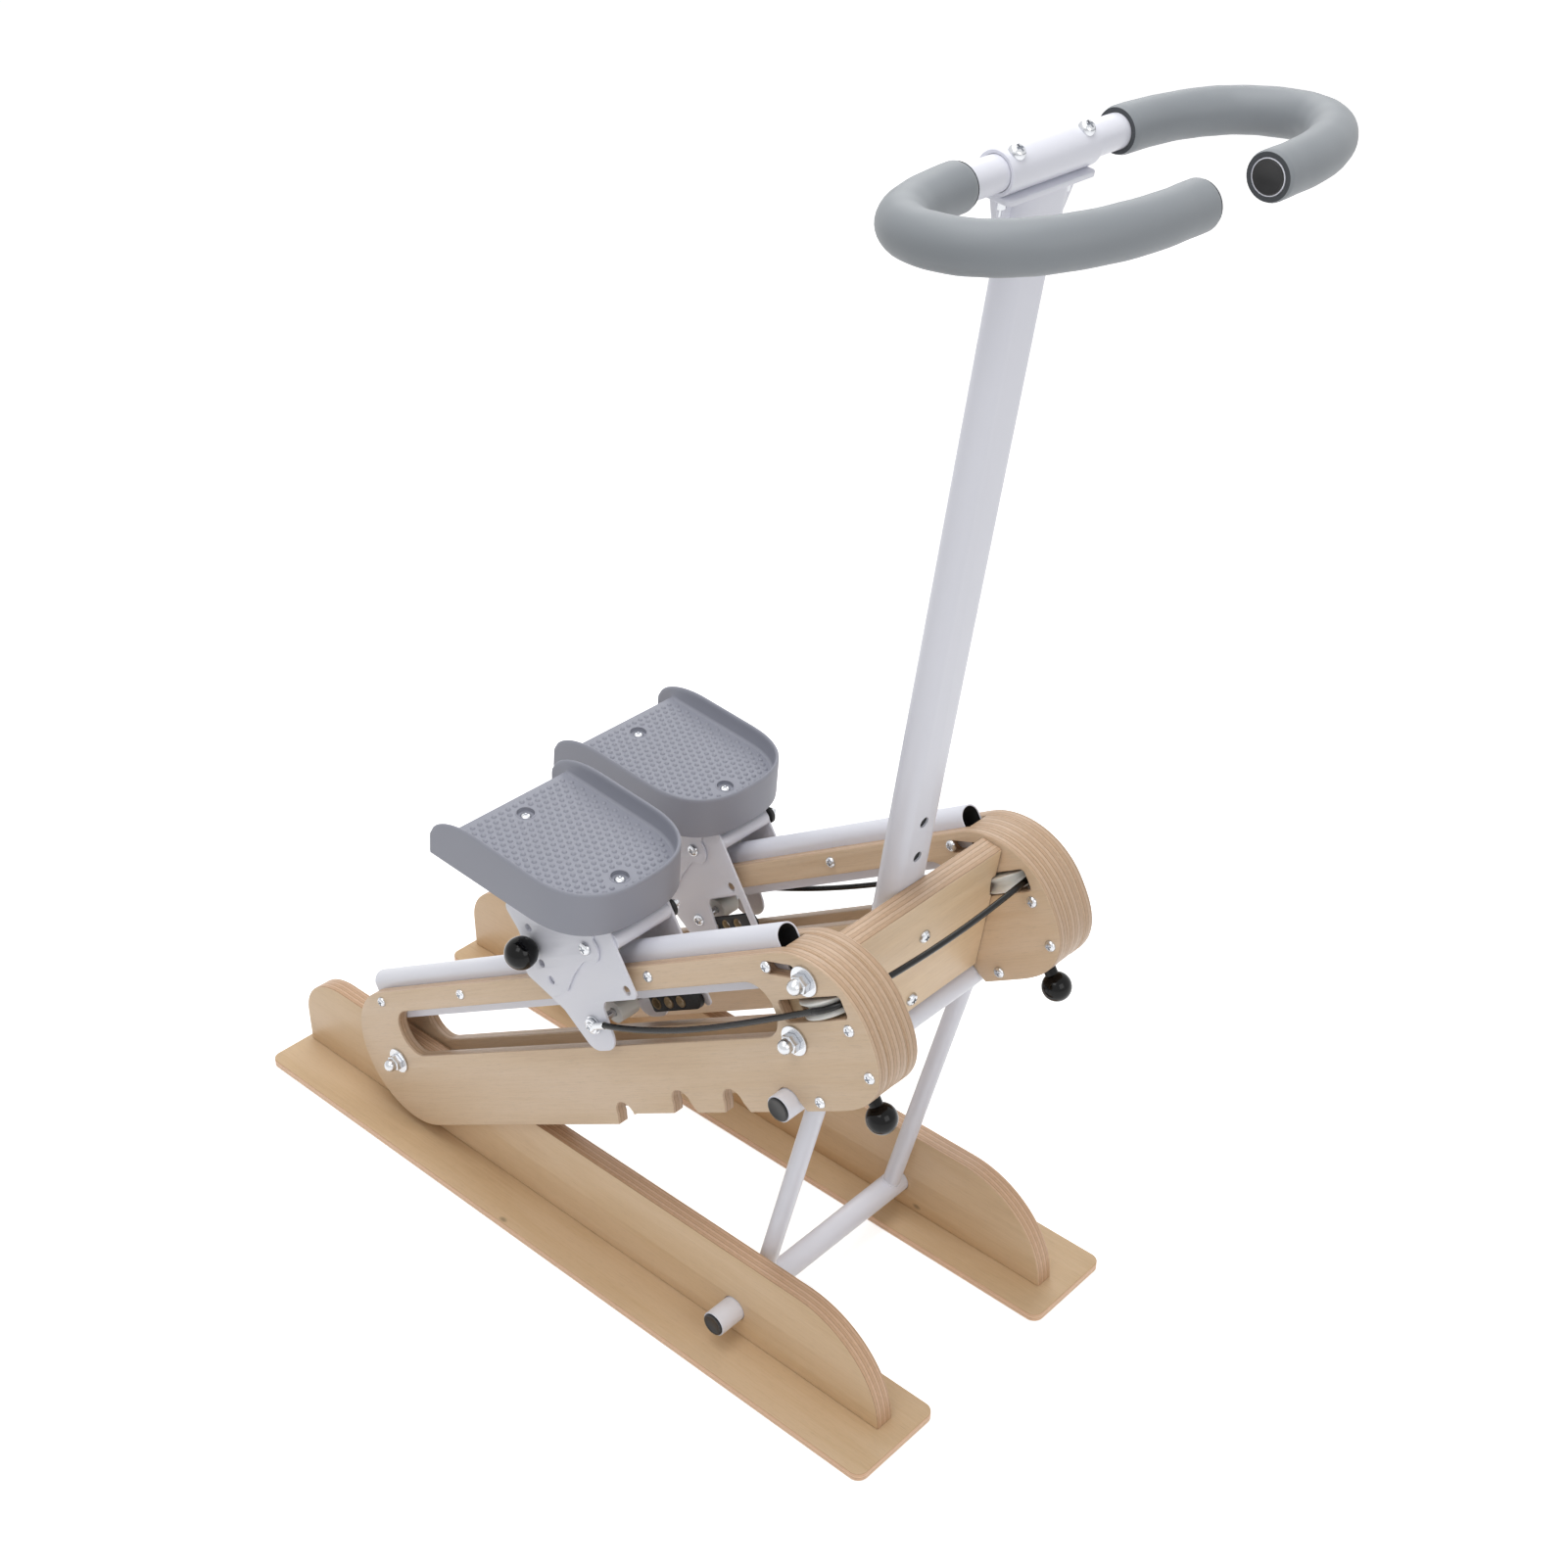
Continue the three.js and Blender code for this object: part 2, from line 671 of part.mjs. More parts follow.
function beamGeometry() {
  const body = block(-beamHalfLength, beamHalfLength, -beamThickness / 2, beamThickness / 2,
    beamFoot, beamFoot + beamHeight);
  const tools = beamRodPositions.map((along) => placed(
    bore(beamRodRadius + boreClearance, -beamHalfLength - overrun, beamHalfLength + overrun, 'x'), 0, 0, along,
  ));
  for (const along of columnBolts) {
    tools.push(placed(bore(columnBoltRadius + boreClearance, -beamThickness, beamThickness, 'y'), 0, 0, along));
  }
  // A pocket in each end lets the rim of the pulley turn
  leaning.updateMatrix();
  for (const side of [1, -1]) {
    const half = pulleyHalfThickness + pulleyPocket;
    const pocket = placed(rod(pulleyRim + pulleyPocket, pulleyV - half, pulleyV + half, 'z', 24),
      side * trackHalfGauge, pulleyU, 0);
    tools.push(pocket.applyMatrix4(leaning.matrix.clone().invert()));
  }
  return cut(body, tools);
}

addNode(leaning, 'cross_beam', beamGeometry(), materialOf(colours.block, 0.55, 0));
['lower', 'upper'].forEach((name, index) => {
  const geometry = placed(cappedRod(beamRodRadius, trackHalfGauge + panelHalfTotal), 0, 0, beamRodPositions[index]);
  addNode(leaning, `beam_rod_${name}`, geometry, materialOf(colours.steel, 0.25, 0.9));
});

// Column: a flat oval tube with a row of height holes
function ovalOutline(width, depth) {
  const straight = (width - depth) / 2;
  return outline([
    ...arcPoints(straight, columnY, depth / 2, depth / 2, -90, 90, 6),
    ...arcPoints(-straight, columnY, depth / 2, depth / 2, 90, 270, 6),
  ]);
}

function ovalTube(width, depth, wall, low, high) {
  const shape = ovalOutline(width, depth);
  shape.holes.push(new THREE.Path(ovalOutline(width - 2 * wall, depth - 2 * wall).getPoints()));
  const geometry = new THREE.ExtrudeGeometry(shape, { depth: high - low, bevelEnabled: false });
  geometry.translate(0, 0, low);
  return geometry;
}

function columnGeometry() {
  const tube = ovalTube(columnWidth, columnDepth, columnWall, beamFoot, columnTop);
  const tools = [];
  for (let index = -2; index <= spareHoles; index += 1) {
    const along = columnBoltHigh + index * holePitch;
    tools.push(placed(rod(holeRadius, columnY - columnDepth, columnY + columnDepth, 'y', 8), 0, 0, along));
  }
  return cut(tube, tools);
}

addNode(leaning, 'column', columnGeometry(), materialOf(colours.white, 0.35, 0.1));

columnBolts.forEach((along, index) => {
  const front = beamThickness / 2 + gap;
  const back = columnY - columnDepth / 2 - gap;
  const profile = [
    [0, back - nutThickness], [boltHeadRadius, back - nutThickness], [boltHeadRadius, back],
    [columnBoltRadius, back], [columnBoltRadius, front], [boltHeadRadius, front],
    [boltHeadRadius * 0.8, front + boltHeadHeight * 0.8], [0, front + boltHeadHeight],
  ];
  addNode(leaning, `column_bolt_${index === 0 ? 'upper' : 'lower'}`, placed(turned(profile, 'y', 12), 0, 0, along),
    materialOf(colours.steel, 0.25, 0.9));
});

// Bracket: a sleeve for the handlebar over a flange, gussets and a socket round the column's top
const sleeveRadius = tubeRadius + boreClearance + sleeveWall;
const flangeTop = sleeveHeight - sleeveRadius + sleeveWall / 2;
const flangeLow = flangeTop - flangeThickness;
const socketLow = columnTop - socketLength;

function bracketGeometry() {
  const sleeve = placed(rod(sleeveRadius, -sleeveHalfLength, sleeveHalfLength, 'x', 14), 0, columnY, sleeveHeight);
  const flange = block(-sleeveHalfLength, sleeveHalfLength, columnY - flangeWidth / 2, columnY + flangeWidth / 2,
    flangeLow, flangeTop);
  const web = block(-sleeveHalfLength, sleeveHalfLength, columnY - gussetThickness, columnY + gussetThickness,
    flangeLow, sleeveHeight);
  const socketWidth = columnWidth + 2 * (socketWall + gap);
  const socketDepth = columnDepth + 2 * (socketWall + gap);
  const socket = new THREE.ExtrudeGeometry(ovalOutline(socketWidth, socketDepth), {
    depth: flangeLow - socketLow + gap, bevelEnabled: false,
  });
  socket.translate(0, 0, socketLow);
  const gusset = outline([
    [-sleeveHalfLength, flangeLow + gap], [-socketWidth / 2, socketLow],
    [socketWidth / 2, socketLow], [sleeveHalfLength, flangeLow + gap],
  ]);
  const gussets = new THREE.ExtrudeGeometry(gusset, { depth: gussetThickness, bevelEnabled: false });
  gussets.rotateX(Math.PI / 2);
  gussets.translate(0, columnY + gussetThickness / 2, 0);
  const columnSpace = new THREE.ExtrudeGeometry(
    ovalOutline(columnWidth + 2 * gap, columnDepth + 2 * gap),
    { depth: socketLength + overrun + gap, bevelEnabled: false },
  );
  columnSpace.translate(0, 0, socketLow - overrun);
  const reachX = sleeveHalfLength + overrun;
  const tube = placed(bore(tubeRadius + boreClearance, -reachX, reachX, 'x'), 0, columnY, sleeveHeight);
  return cut(join([sleeve, flange, web, socket, gussets]), [columnSpace, tube]);
}

addNode(leaning, 'handlebar_bracket', bracketGeometry(), materialOf(colours.white, 0.35, 0.1));

// Path of the handlebar: a flat ring with round front corners and squarer rear ones, open at the
// middle of its front
class BarPath extends THREE.Curve {
  constructor(from, to) {
    super();
    this.from = from;
    this.to = to;
    this.depth = barDepth / 2;
    this.end = barHalfWidth - barStraight;
    this.quarter = (Math.PI / 2) * Math.sqrt((this.end ** 2 + this.depth ** 2) / 2);
    this.rear = barStraight;
    this.round = 2 * this.quarter;
  }

  // Place at a signed distance from the middle of the rear side
  place(distance) {
    const side = Math.sign(distance) || 1;
    const length = Math.abs(distance);
    if (length <= this.rear) return [side * length, 0];
    if (length <= this.rear + this.round) {
      const angle = (Math.PI * (length - this.rear)) / this.round;
      const power = angle < Math.PI / 2 ? 2 / barRearPower : 1;
      const across = Math.sin(angle) ** power;
      const along = Math.sign(Math.cos(angle)) * Math.abs(Math.cos(angle)) ** power;
      return [side * (barStraight + this.end * across), this.depth - this.depth * along];
    }
    return [side * (barStraight - (length - this.rear - this.round)), 2 * this.depth];
  }

  get reach() {
    return this.rear + this.round + barStraight - barGapHalf;
  }

  getPoint(t, target = new THREE.Vector3()) {
    const [x, y] = this.place(this.from + (this.to - this.from) * t);
    return target.set(x, y, 0);
  }

  // Stations stay at even steps of the distance, so that the tube and its foam share them
  getPointAt(u, target) {
    return this.getPoint(u, target);
  }

  getTangentAt(u, target) {
    return this.getTangent(u, target);
  }
}

function ringSection(outer, inner, sides) {
  const shape = new THREE.Shape(arcPoints(0, 0, outer, outer, 0, 360, sides).slice(1)
    .map(([y, z]) => new THREE.Vector2(y, z)));
  if (inner > 0) {
    shape.holes.push(new THREE.Path(arcPoints(0, 0, inner, inner, 0, 360, sides).slice(1)
      .map(([y, z]) => new THREE.Vector2(y, z))));
  }
  return shape;
}

const bar = new THREE.Group();
bar.position.set(0, columnY, sleeveHeight);
bar.rotation.x = (columnLean + barTilt) * degrees;
leaning.add(bar);
const reach = new BarPath(0, 1).reach;
const barSides = 10;
const barSteps = 44;
const foamSteps = 18;
const foamStart = reach * (1 - (2 * foamSteps) / barSteps);

function barTube(outer, inner, from, to, steps) {
  return new THREE.ExtrudeGeometry(ringSection(outer, inner, barSides), {
    steps, extrudePath: new BarPath(from, to), bevelEnabled: false,
  });
}

// The bar itself, bored at both ends for the plugs
function handlebarGeometry() {
  const inner = tubeRadius - tubeWall;
  const bores = [1, -1].map((side) => {
    const ends = [side * (barGapHalf - overrun), side * (barGapHalf + plugLength + gap)];
    return placed(rod(inner, Math.min(...ends), Math.max(...ends), 'x', 12), 0, barDepth, 0);
  });
  return cut(barTube(tubeRadius, 0, -reach, reach, barSteps), bores);
}

addNode(bar, 'handlebar_tube', handlebarGeometry(), materialOf(colours.white, 0.35, 0.1));
const foamInner = (tubeRadius + gap) / Math.cos(Math.PI / barSides);
addPair(() => bar, 'foam_grip', barTube(foamRadius, foamInner, foamStart, reach, foamSteps), materialOf(colours.foam, 0.95, 0));

function barPlugGeometry() {
  const plug = (tubeRadius - tubeWall) * Math.cos(Math.PI / 12) - gap;
  const end = barGapHalf;
  const profile = [[0, end - gap - plugHead], [tubeRadius - gap, end - gap - plugHead], [tubeRadius - gap, end - gap],
    [plug, end - gap], [plug, end + plugLength], [0, end + plugLength]];
  return placed(turned(profile, 'x', 12), 0, barDepth, 0);
}

addPair(() => bar, 'bar_plug', barPlugGeometry(), materialOf(colours.black, 0.5, 0));

// Carriages
const carriageV = railTop + rollerWaist + gap;
const carriages = {};
for (const [side, place] of [[1, rightCarriageU], [-1, leftCarriageU]]) {
  carriages[side] = new THREE.Group();
  carriages[side].position.set(0, place, carriageV);
  sideTracks[side].add(carriages[side]);
}
const onCarriage = (side) => carriages[side];
const lowerAxleV = railLow - lowerRollerRadius - gap - carriageV;
const plateOuter = sidePlateHalf + sidePlateThickness;

// Grooved roller that hugs the arched rail
function grooveRadius(offset) {
  const arch = railWidth / 2;
  return rollerWaist + arch - Math.sqrt(arch ** 2 - offset ** 2);
}

function rollerGeometry() {
  const offsetShares = [-1, -0.75, -0.4, 0, 0.4, 0.75, 1];
  const groove = offsetShares.map((share) => {
    const offset = share * rollerGrooveHalf;
    return [grooveRadius(offset), offset];
  });
  const flange = grooveRadius(rollerGrooveHalf);
  const bore = axleRadius + boreClearance;
  const profile = [
    [bore, -rollerHalfWidth], [flange, -rollerHalfWidth], ...groove, [flange, rollerHalfWidth],
    [bore, rollerHalfWidth], [bore, -rollerHalfWidth],
  ];
  return turned(profile, 'x', 14);
}

addPair(onCarriage, 'roller_front', rollerGeometry(), materialOf(colours.white, 0.5, 0));
addPair(onCarriage, 'roller_rear', placed(rollerGeometry(), 0, -rearAxleBack, 0), materialOf(colours.white, 0.5, 0));

function lowerRollerGeometry() {
  const bore = axleRadius + boreClearance;
  const half = lowerRollerHalfWidth;
  const profile = [[bore, -half], [lowerRollerRadius, -half], [lowerRollerRadius, half], [bore, half], [bore, -half]];
  return placed(turned(profile, 'x', 18), 0, -lowerAxleBack, lowerAxleV);
}

addPair(onCarriage, 'roller_lower', lowerRollerGeometry(), materialOf(colours.white, 0.5, 0));

// Side plate of a carriage; the inner one has a tongue in front that reaches down past the buffer
function sidePlateShape(front, tongue) {
  const lobeV = lowerAxleV - (lobeRadius - 2 * sidePlateThickness) / 2;
  const bottom = eyeHoleV - 2 * eyeHoleRadius;
  const tongueTip = tongueWidth / 2;
  const tonguePoints = tongue
    ? [[front - tongueWidth, bottom], ...arcPoints(front - tongueTip, -tongueDrop + tongueTip, tongueTip, tongueTip, 180, 360, 6)]
    : arcPoints(front - tongueTip, bottom + tongueTip, tongueTip, tongueTip, -90, 0, 4);
  const points = [
    ...arcPoints(-lowerAxleBack, lobeV, lobeRadius, lobeRadius, 200, 370, 9),
    [-lowerAxleBack + lobeRadius * 1.1, bottom - lobeRadius * 0.3],
    [-lowerAxleBack + lobeRadius * 1.5, bottom],
    ...tonguePoints,
    [front, spacerTubeV + spacerTubeRadius * 0.8],
    [spacerTubeU + spacerTubeRadius * 0.8, spacerTubeV + spacerTubeRadius * 1.7],
    [-plateShoulder, bracketLobe],
    [-rearAxleBack, plateTop],
    [-plateRear, plateTop],
    [-plateRear + plateWaist, plateTop / 2.5],
    [-plateRear - plateHeel, -plateTop / 2.8],
    [-tiltHoleRadius - plateShoulder, -plateTop / 1.45],
    [-tiltHoleRadius, -plateTop * 1.1],
  ];
  return outline(points);
}

function tiltHolePlace(index) {
  const angle = (tiltHoleAngle + index * tiltHolePitch) * degrees;
  return [tiltHoleRadius * Math.cos(angle), tiltHoleRadius * Math.sin(angle)];
}

function carriageGeometry() {
  const plates = [[plateFront, false, sidePlateHalf, plateOuter], [innerPlateFront, true, -plateOuter, -sidePlateHalf]];
  const slabs = plates.map(([front, tongue, xLow, xHigh]) => {
    const shape = sidePlateShape(front, tongue);
    addRoundHole(shape, 0, 0, axleRadius + boreClearance);
    addRoundHole(shape, -lowerAxleBack, lowerAxleV, axleRadius + boreClearance);
    addRoundHole(shape, eyeHoleU, eyeHoleV, eyeHoleRadius);
    if (!tongue) {
      for (let index = -tiltHolesBelow; index <= tiltHolesAbove; index += 1) {
        addRoundHole(shape, ...tiltHolePlace(index), tiltHoleSize);
      }
    }
    return slab(shape, xLow, xHigh, 8);
  });
  const spacer = placed(rod(spacerTubeRadius, -sidePlateHalf - gap, sidePlateHalf + gap, 'x', 10), 0, spacerTubeU, spacerTubeV);
  const rearAxle = placed(rod(axleRadius, -plateOuter, plateOuter, 'x', 10), 0, -rearAxleBack, 0);
  return join([...slabs, spacer, rearAxle]);
}

addPair(onCarriage, 'carriage_frame', carriageGeometry(), materialOf(colours.white, 0.35, 0.1));

// Pivot bolt of the pedal bracket, which is the front upper roller's axle too
const bracketOuter = plateOuter + gap + bracketThickness;
const boltReach = bracketOuter + gap;

function headedBolt(reachRight, reachLeft, headHeight) {
  const profile = [
    [0, -reachLeft - headHeight], [axleHeadRadius, -reachLeft - headHeight], [axleHeadRadius, -reachLeft],
    [axleRadius, -reachLeft], [axleRadius, reachRight], [axleHeadRadius, reachRight],
    [axleHeadRadius * 0.8, reachRight + headHeight * 0.8], [0, reachRight + headHeight],
  ];
  return turned(profile, 'x', 12);
}

addPair(onCarriage, 'pivot_bolt', headedBolt(boltReach, boltReach, axleHeadHeight), materialOf(colours.steel, 0.25, 0.9));

// Lower bolt with the cable's eye, ferrule and washer on its outer end
function eyeBoltGeometry() {
  const eyeLow = plateOuter + gap;
  const bolt = headedBolt(eyeLow, eyeLow, axleHeadHeight);
  const eye = rod(eyeRadius, eyeLow, eyeLow + eyeThickness, 'x', 20);
  const ferrule = placed(rod(ferruleRadius, 0, ferruleLength, 'y', 12), eyeLow + ferruleRadius, 0, 0);
  return placed(join([bolt, eye, ferrule]), 0, -lowerAxleBack, lowerAxleV);
}

addPair(onCarriage, 'cable_eye_bolt', eyeBoltGeometry(), materialOf(colours.steel, 0.25, 0.9));

// Rubber buffer: a flat bar with a row of round holes and a rounded front end
function bufferGeometry() {
  const low = -bufferHalfHeight;
  const points = [
    [-bufferRear, low],
    ...arcPoints(bufferFront - bufferHalfHeight, 0, bufferHalfHeight, bufferHalfHeight, -90, 90, 8),
    [-bufferRear, bufferHalfHeight],
  ];
  const shape = outline(points);
  for (let index = 0; index < bufferHoles; index += 1) {
    addRoundHole(shape, -bufferRear + bufferHalfHeight + index * bufferHolePitch, 0, bufferHoleRadius);
  }
  const inner = -sidePlateHalf + gap;
  return placed(slab(shape, inner, inner + bufferThickness, 8), 0, 0, -bufferDrop);
}

addPair(onCarriage, 'rubber_buffer', bufferGeometry(), materialOf(colours.rubber, 0.6, 0));

// Pedal frame: origin on the floor at the rear screw, y towards the toe, z out of the floor
const pedalTurn = -(trackSlope + pedalSlope) * degrees;

function fromPedal(along, height) {
  return [
    -pedalBack + along * Math.cos(pedalTurn) - height * Math.sin(pedalTurn),
    pedalRise + along * Math.sin(pedalTurn) + height * Math.cos(pedalTurn),
  ];
}

// Pedal bracket: two cheeks with a top plate under the pedal; the outer cheek has the tilt holes
function bracketCheek() {
  const under = -pedalFloorThickness - gap - bracketThickness;
  const rearTop = fromPedal(-bracketTopRear, under);
  const frontTop = fromPedal(bracketTopFront, under);
  const arm = tiltHoleRadius + bracketLobe;
  const lowAngle = tiltHoleAngle + (tiltHolesBelow + 0.7) * tiltHolePitch;
  const highAngle = tiltHoleAngle - (tiltHolesAbove + 0.8) * tiltHolePitch;
  return outline([
    ...arcPoints(0, 0, bracketLobe, bracketLobe, 20, -90, 6),
    [-bracketLobe, -bracketLobe * 1.1],
    [-tiltHoleRadius * 0.45, -bracketLobe * 1.55],
    [-tiltHoleRadius * 0.68, -bracketLobe * 2.3],
    ...arcPoints(0, 0, arm, arm, lowAngle, highAngle, 6),
    rearTop, frontTop,
  ]);
}

function pedalBracketGeometry() {
  const cheeks = [1, -1].map((side) => {
    const shape = bracketCheek();
    addRoundHole(shape, 0, 0, axleRadius + boreClearance);
    if (side > 0) {
      for (let index = -tiltHolesAbove; index <= tiltHolesBelow; index += 1) {
        addRoundHole(shape, ...tiltHolePlace(index), tiltHoleSize);
      }
    }
    const inner = plateOuter + gap;
    return side > 0 ? slab(shape, inner, bracketOuter, 8) : slab(shape, -bracketOuter, -inner, 8);
  });
  const topLow = -pedalFloorThickness - gap - bracketThickness;
  const top = block(-bracketOuter, bracketOuter, -bracketTopRear, bracketTopFront, topLow - gap, topLow + bracketThickness);
  top.rotateX(pedalTurn);
  top.translate(0, -pedalBack, pedalRise);
  return join([...cheeks, top]);
}

addPair(onCarriage, 'pedal_bracket', pedalBracketGeometry(), materialOf(colours.white, 0.35, 0.1));

// Pedal: a tray with a round toe, a raised rim, a skirt and swept lips at its open rear
function pedalPlan(inset, rear) {
  const half = pedalHalfWidth - inset;
  const centre = pedalToe - pedalHalfWidth;
  const toe = arcPoints(0, centre, half, half, 0, 180, 12, pedalToePower);
  return outline([[half, -rear], ...toe, [-half, -rear]]);
}

function upright(shape, low, high) {
  const geometry = new THREE.ExtrudeGeometry(shape, { depth: high - low, bevelEnabled: false });
  geometry.translate(0, 0, low);
  return geometry;
}

function pedalGeometry() {
  const side = outline([
    [-pedalLipBack, -pedalLipSkirt], [pedalToe, -pedalSkirt], [pedalToe + overrun, -pedalSkirt],
    [pedalToe + overrun, pedalRim],
    ...arcPoints(pedalLipStart, -pedalWall * 3, pedalLipBack + pedalLipStart, pedalRim + pedalWall * 3, 90, 180, 7),
  ]);
  const sideSolid = solidOf(slab(side, -pedalHalfWidth - overrun, pedalHalfWidth + overrun));
  const outer = solidOf(upright(pedalPlan(0, pedalLipBack), -pedalLipSkirt, pedalRim)).intersect(sideSolid);
  const upper = solidOf(upright(pedalPlan(pedalWall, pedalLipBack + overrun), 0, pedalRim + overrun));
  const lower = solidOf(upright(pedalPlan(pedalWall, pedalLipBack + overrun), -pedalLipSkirt - overrun, -pedalFloorThickness));
  const inner = pedalHalfWidth - pedalWall;
  const rearCut = solidOf(block(-inner, inner, -pedalLipBack - overrun, -pedalRearEdge,
    -pedalFloorThickness - overrun, overrun));
  let solid = outer.subtract(upper).subtract(lower).subtract(rearCut);
  for (const along of [0, pedalScrewPitch]) {
    const hole = placed(rod(pedalScrewHole, -pedalFloorThickness - overrun, overrun, 'z', 18), 0, along, 0);
    solid = solid.subtract(solidOf(hole));
  }
  return geometryOf(solid);
}

const pedalInCarriage = pedalGeometry();
pedalInCarriage.rotateX(pedalTurn);
pedalInCarriage.translate(0, -pedalBack, pedalRise);
addPair(onCarriage, 'pedal', pedalInCarriage, materialOf(colours.pedal, 0.6, 0));

// Tilt pin with its ball knob: it sits in a hole of the bracket, drawn clear of the side plate
function tiltPinGeometry() {
  const tip = plateOuter + 2 * gap;
  const collar = bracketOuter + tiltPinLift;
  const start = Math.asin(tiltCollarRadius / tiltKnobRadius);
  const centre = collar + tiltCollarLength + tiltKnobRadius * Math.cos(start);
  const profile = [[0, tip], [tiltPinRadius, tip], [tiltPinRadius, collar], [tiltCollarRadius, collar]];
  const steps = 5;
  for (let step = 0; step <= steps; step += 1) {
    const angle = start + ((Math.PI - start) * step) / steps;
    profile.push([step === steps ? 0 : tiltKnobRadius * Math.sin(angle), centre - tiltKnobRadius * Math.cos(angle)]);
  }
  const [u, v] = tiltHolePlace(0);
  return placed(turned(profile, 'x', 12), 0, u, v);
}

addPair(onCarriage, 'tilt_pin', tiltPinGeometry(), materialOf(colours.black, 0.2, 0));

// Drive cable: along the outside of each track, round both pulleys and across in front of the beam
class CablePath extends THREE.Curve {
  constructor() {
    super();
    this.half = trackHalfGauge;
    this.radius = pulleyCableRadius;
    this.bend = (Math.PI / 2) * this.radius;
    this.total = 2 * (this.half + this.bend);
  }

  getPoint(t, target = new THREE.Vector3()) {
    const distance = (t - 0.5) * this.total;
    const side = Math.sign(distance) || 1;
    const length = Math.abs(distance);
    if (length <= this.half) return target.set(side * length, pulleyU + this.radius, pulleyV);
    const angle = Math.min((length - this.half) / this.radius, Math.PI / 2);
    return target.set(side * (this.half + this.radius * Math.sin(angle)), pulleyU + this.radius * Math.cos(angle), pulleyV);
  }
}

const cableCross = new THREE.ExtrudeGeometry(ringSection(cableRadius, 0, 8), {
  steps: 40, extrudePath: new CablePath(), bevelEnabled: false,
});
addNode(track, 'cable_cross', cableCross, materialOf(colours.cable, 0.4, 0));

for (const [side, name, place] of [[1, 'right', rightCarriageU], [-1, 'left', leftCarriageU]]) {
  const start = new THREE.Vector3(
    side * (trackHalfGauge + plateOuter + gap + ferruleRadius),
    place - lowerAxleBack + ferruleLength + gap,
    carriageV + lowerAxleV,
  );
  const end = new THREE.Vector3(side * (trackHalfGauge + pulleyCableRadius), pulleyU - gap, pulleyV);
  const run = new THREE.ExtrudeGeometry(ringSection(cableRadius, 0, 8), {
    steps: 6, extrudePath: new THREE.LineCurve3(start, end), bevelEnabled: false,
  });
  addNode(track, `cable_run_${name}`, run, materialOf(colours.cable, 0.4, 0));
}

export default model;
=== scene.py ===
import math
import bpy
import bmesh
import numpy as np
from mathutils import Matrix, Vector


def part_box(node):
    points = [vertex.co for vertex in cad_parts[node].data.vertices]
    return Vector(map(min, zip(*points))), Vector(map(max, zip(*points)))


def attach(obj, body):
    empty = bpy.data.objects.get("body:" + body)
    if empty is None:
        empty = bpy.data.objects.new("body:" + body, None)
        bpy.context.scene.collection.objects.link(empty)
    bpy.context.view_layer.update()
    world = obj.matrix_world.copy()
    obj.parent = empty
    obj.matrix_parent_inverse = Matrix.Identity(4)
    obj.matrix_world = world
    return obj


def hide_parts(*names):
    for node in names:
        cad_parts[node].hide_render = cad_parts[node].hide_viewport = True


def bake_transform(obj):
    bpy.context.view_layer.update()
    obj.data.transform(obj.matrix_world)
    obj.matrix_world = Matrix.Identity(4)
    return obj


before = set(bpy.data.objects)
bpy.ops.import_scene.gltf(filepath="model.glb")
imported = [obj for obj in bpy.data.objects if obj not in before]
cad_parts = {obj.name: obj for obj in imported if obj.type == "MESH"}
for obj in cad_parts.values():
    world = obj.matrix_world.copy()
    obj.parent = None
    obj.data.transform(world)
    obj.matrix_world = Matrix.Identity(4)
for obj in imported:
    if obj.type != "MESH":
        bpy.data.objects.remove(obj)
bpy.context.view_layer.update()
print("stepper: frame loaded")

cameraSettings = dict(
    place=(1.18841, 1.19747, 1.55755),
    right=(-0.675963, 0.736932, -0.002217),
    up=(-0.392426, -0.357409, 0.847502),
    back=(0.623759, 0.573751, 0.530787),
    lens=49.49,
    sensor=36,
    nearest=0.01,
)


# several settings at once, by their names
def pick(settings, names):
    return [settings[name] for name in names.split()]


# an object made of some data and put in the scene
def addObject(name, data):
    made = bpy.data.objects.new(name, data)
    bpy.context.collection.objects.link(made)
    return made


# the camera's axes are the three fitted directions, put side by side in one matrix
def addCamera(settings):
    data = bpy.data.cameras.new("stepperCamera")
    data.lens, data.sensor_width, data.clip_start = pick(settings, "lens sensor nearest")
    camera = addObject("stepperCamera", data)
    axes = Matrix(pick(settings, "right up back")).transposed().to_4x4()
    camera.matrix_world = Matrix.Translation(settings["place"]) @ axes
    bpy.context.scene.camera = camera


addCamera(cameraSettings)

# places and sizes that several pieces share, in millimetres and degrees
originAhead = 74.2
trackX = 122
trackSlope = 30.6
rearPivot = (-245, 88)
propFoot = (233, 39)
pulleyU = 705
columnLean = 9.0
columnY = -23.8
sleeveZ = 712.9
carriageU = {1: 445, -1: 322}
lowerAxle = (-42, -76)
spacerTube = (36, 1)
pedalTurn = -36.6
pedalRoot = (-61.4, 124)
sideName = {1: "right", -1: "left"}


# a place: a turn about x by an angle in degrees, then a move
def turned(angle, y=0.0, z=0.0):
    c, s = math.cos(math.radians(angle)), math.sin(math.radians(angle))
    return np.array([[1, 0, 0, 0], [0, c, -s, y], [0, s, c, z], [0, 0, 0, 1.0]])


# a place moved across by x, and for the left side mirrored in x
def sided(place, side, x=trackX):
    step = np.eye(4)
    step[0, 3] = x
    return np.diag([side, 1, 1, 1.0]) @ place @ step


# a place whose own z runs along a direction from a centre
def facing(centre, direction):
    direction = np.asarray(direction, dtype=float)
    direction = direction / np.linalg.norm(direction)
    a = np.cross((0, 0, 1.0) if abs(direction[2]) < 0.9 else (0, 1.0, 0), direction)
    a /= np.linalg.norm(a)
    local = np.eye(4)
    local[:3] = np.c_[a, np.cross(direction, a), direction, centre]
    return local


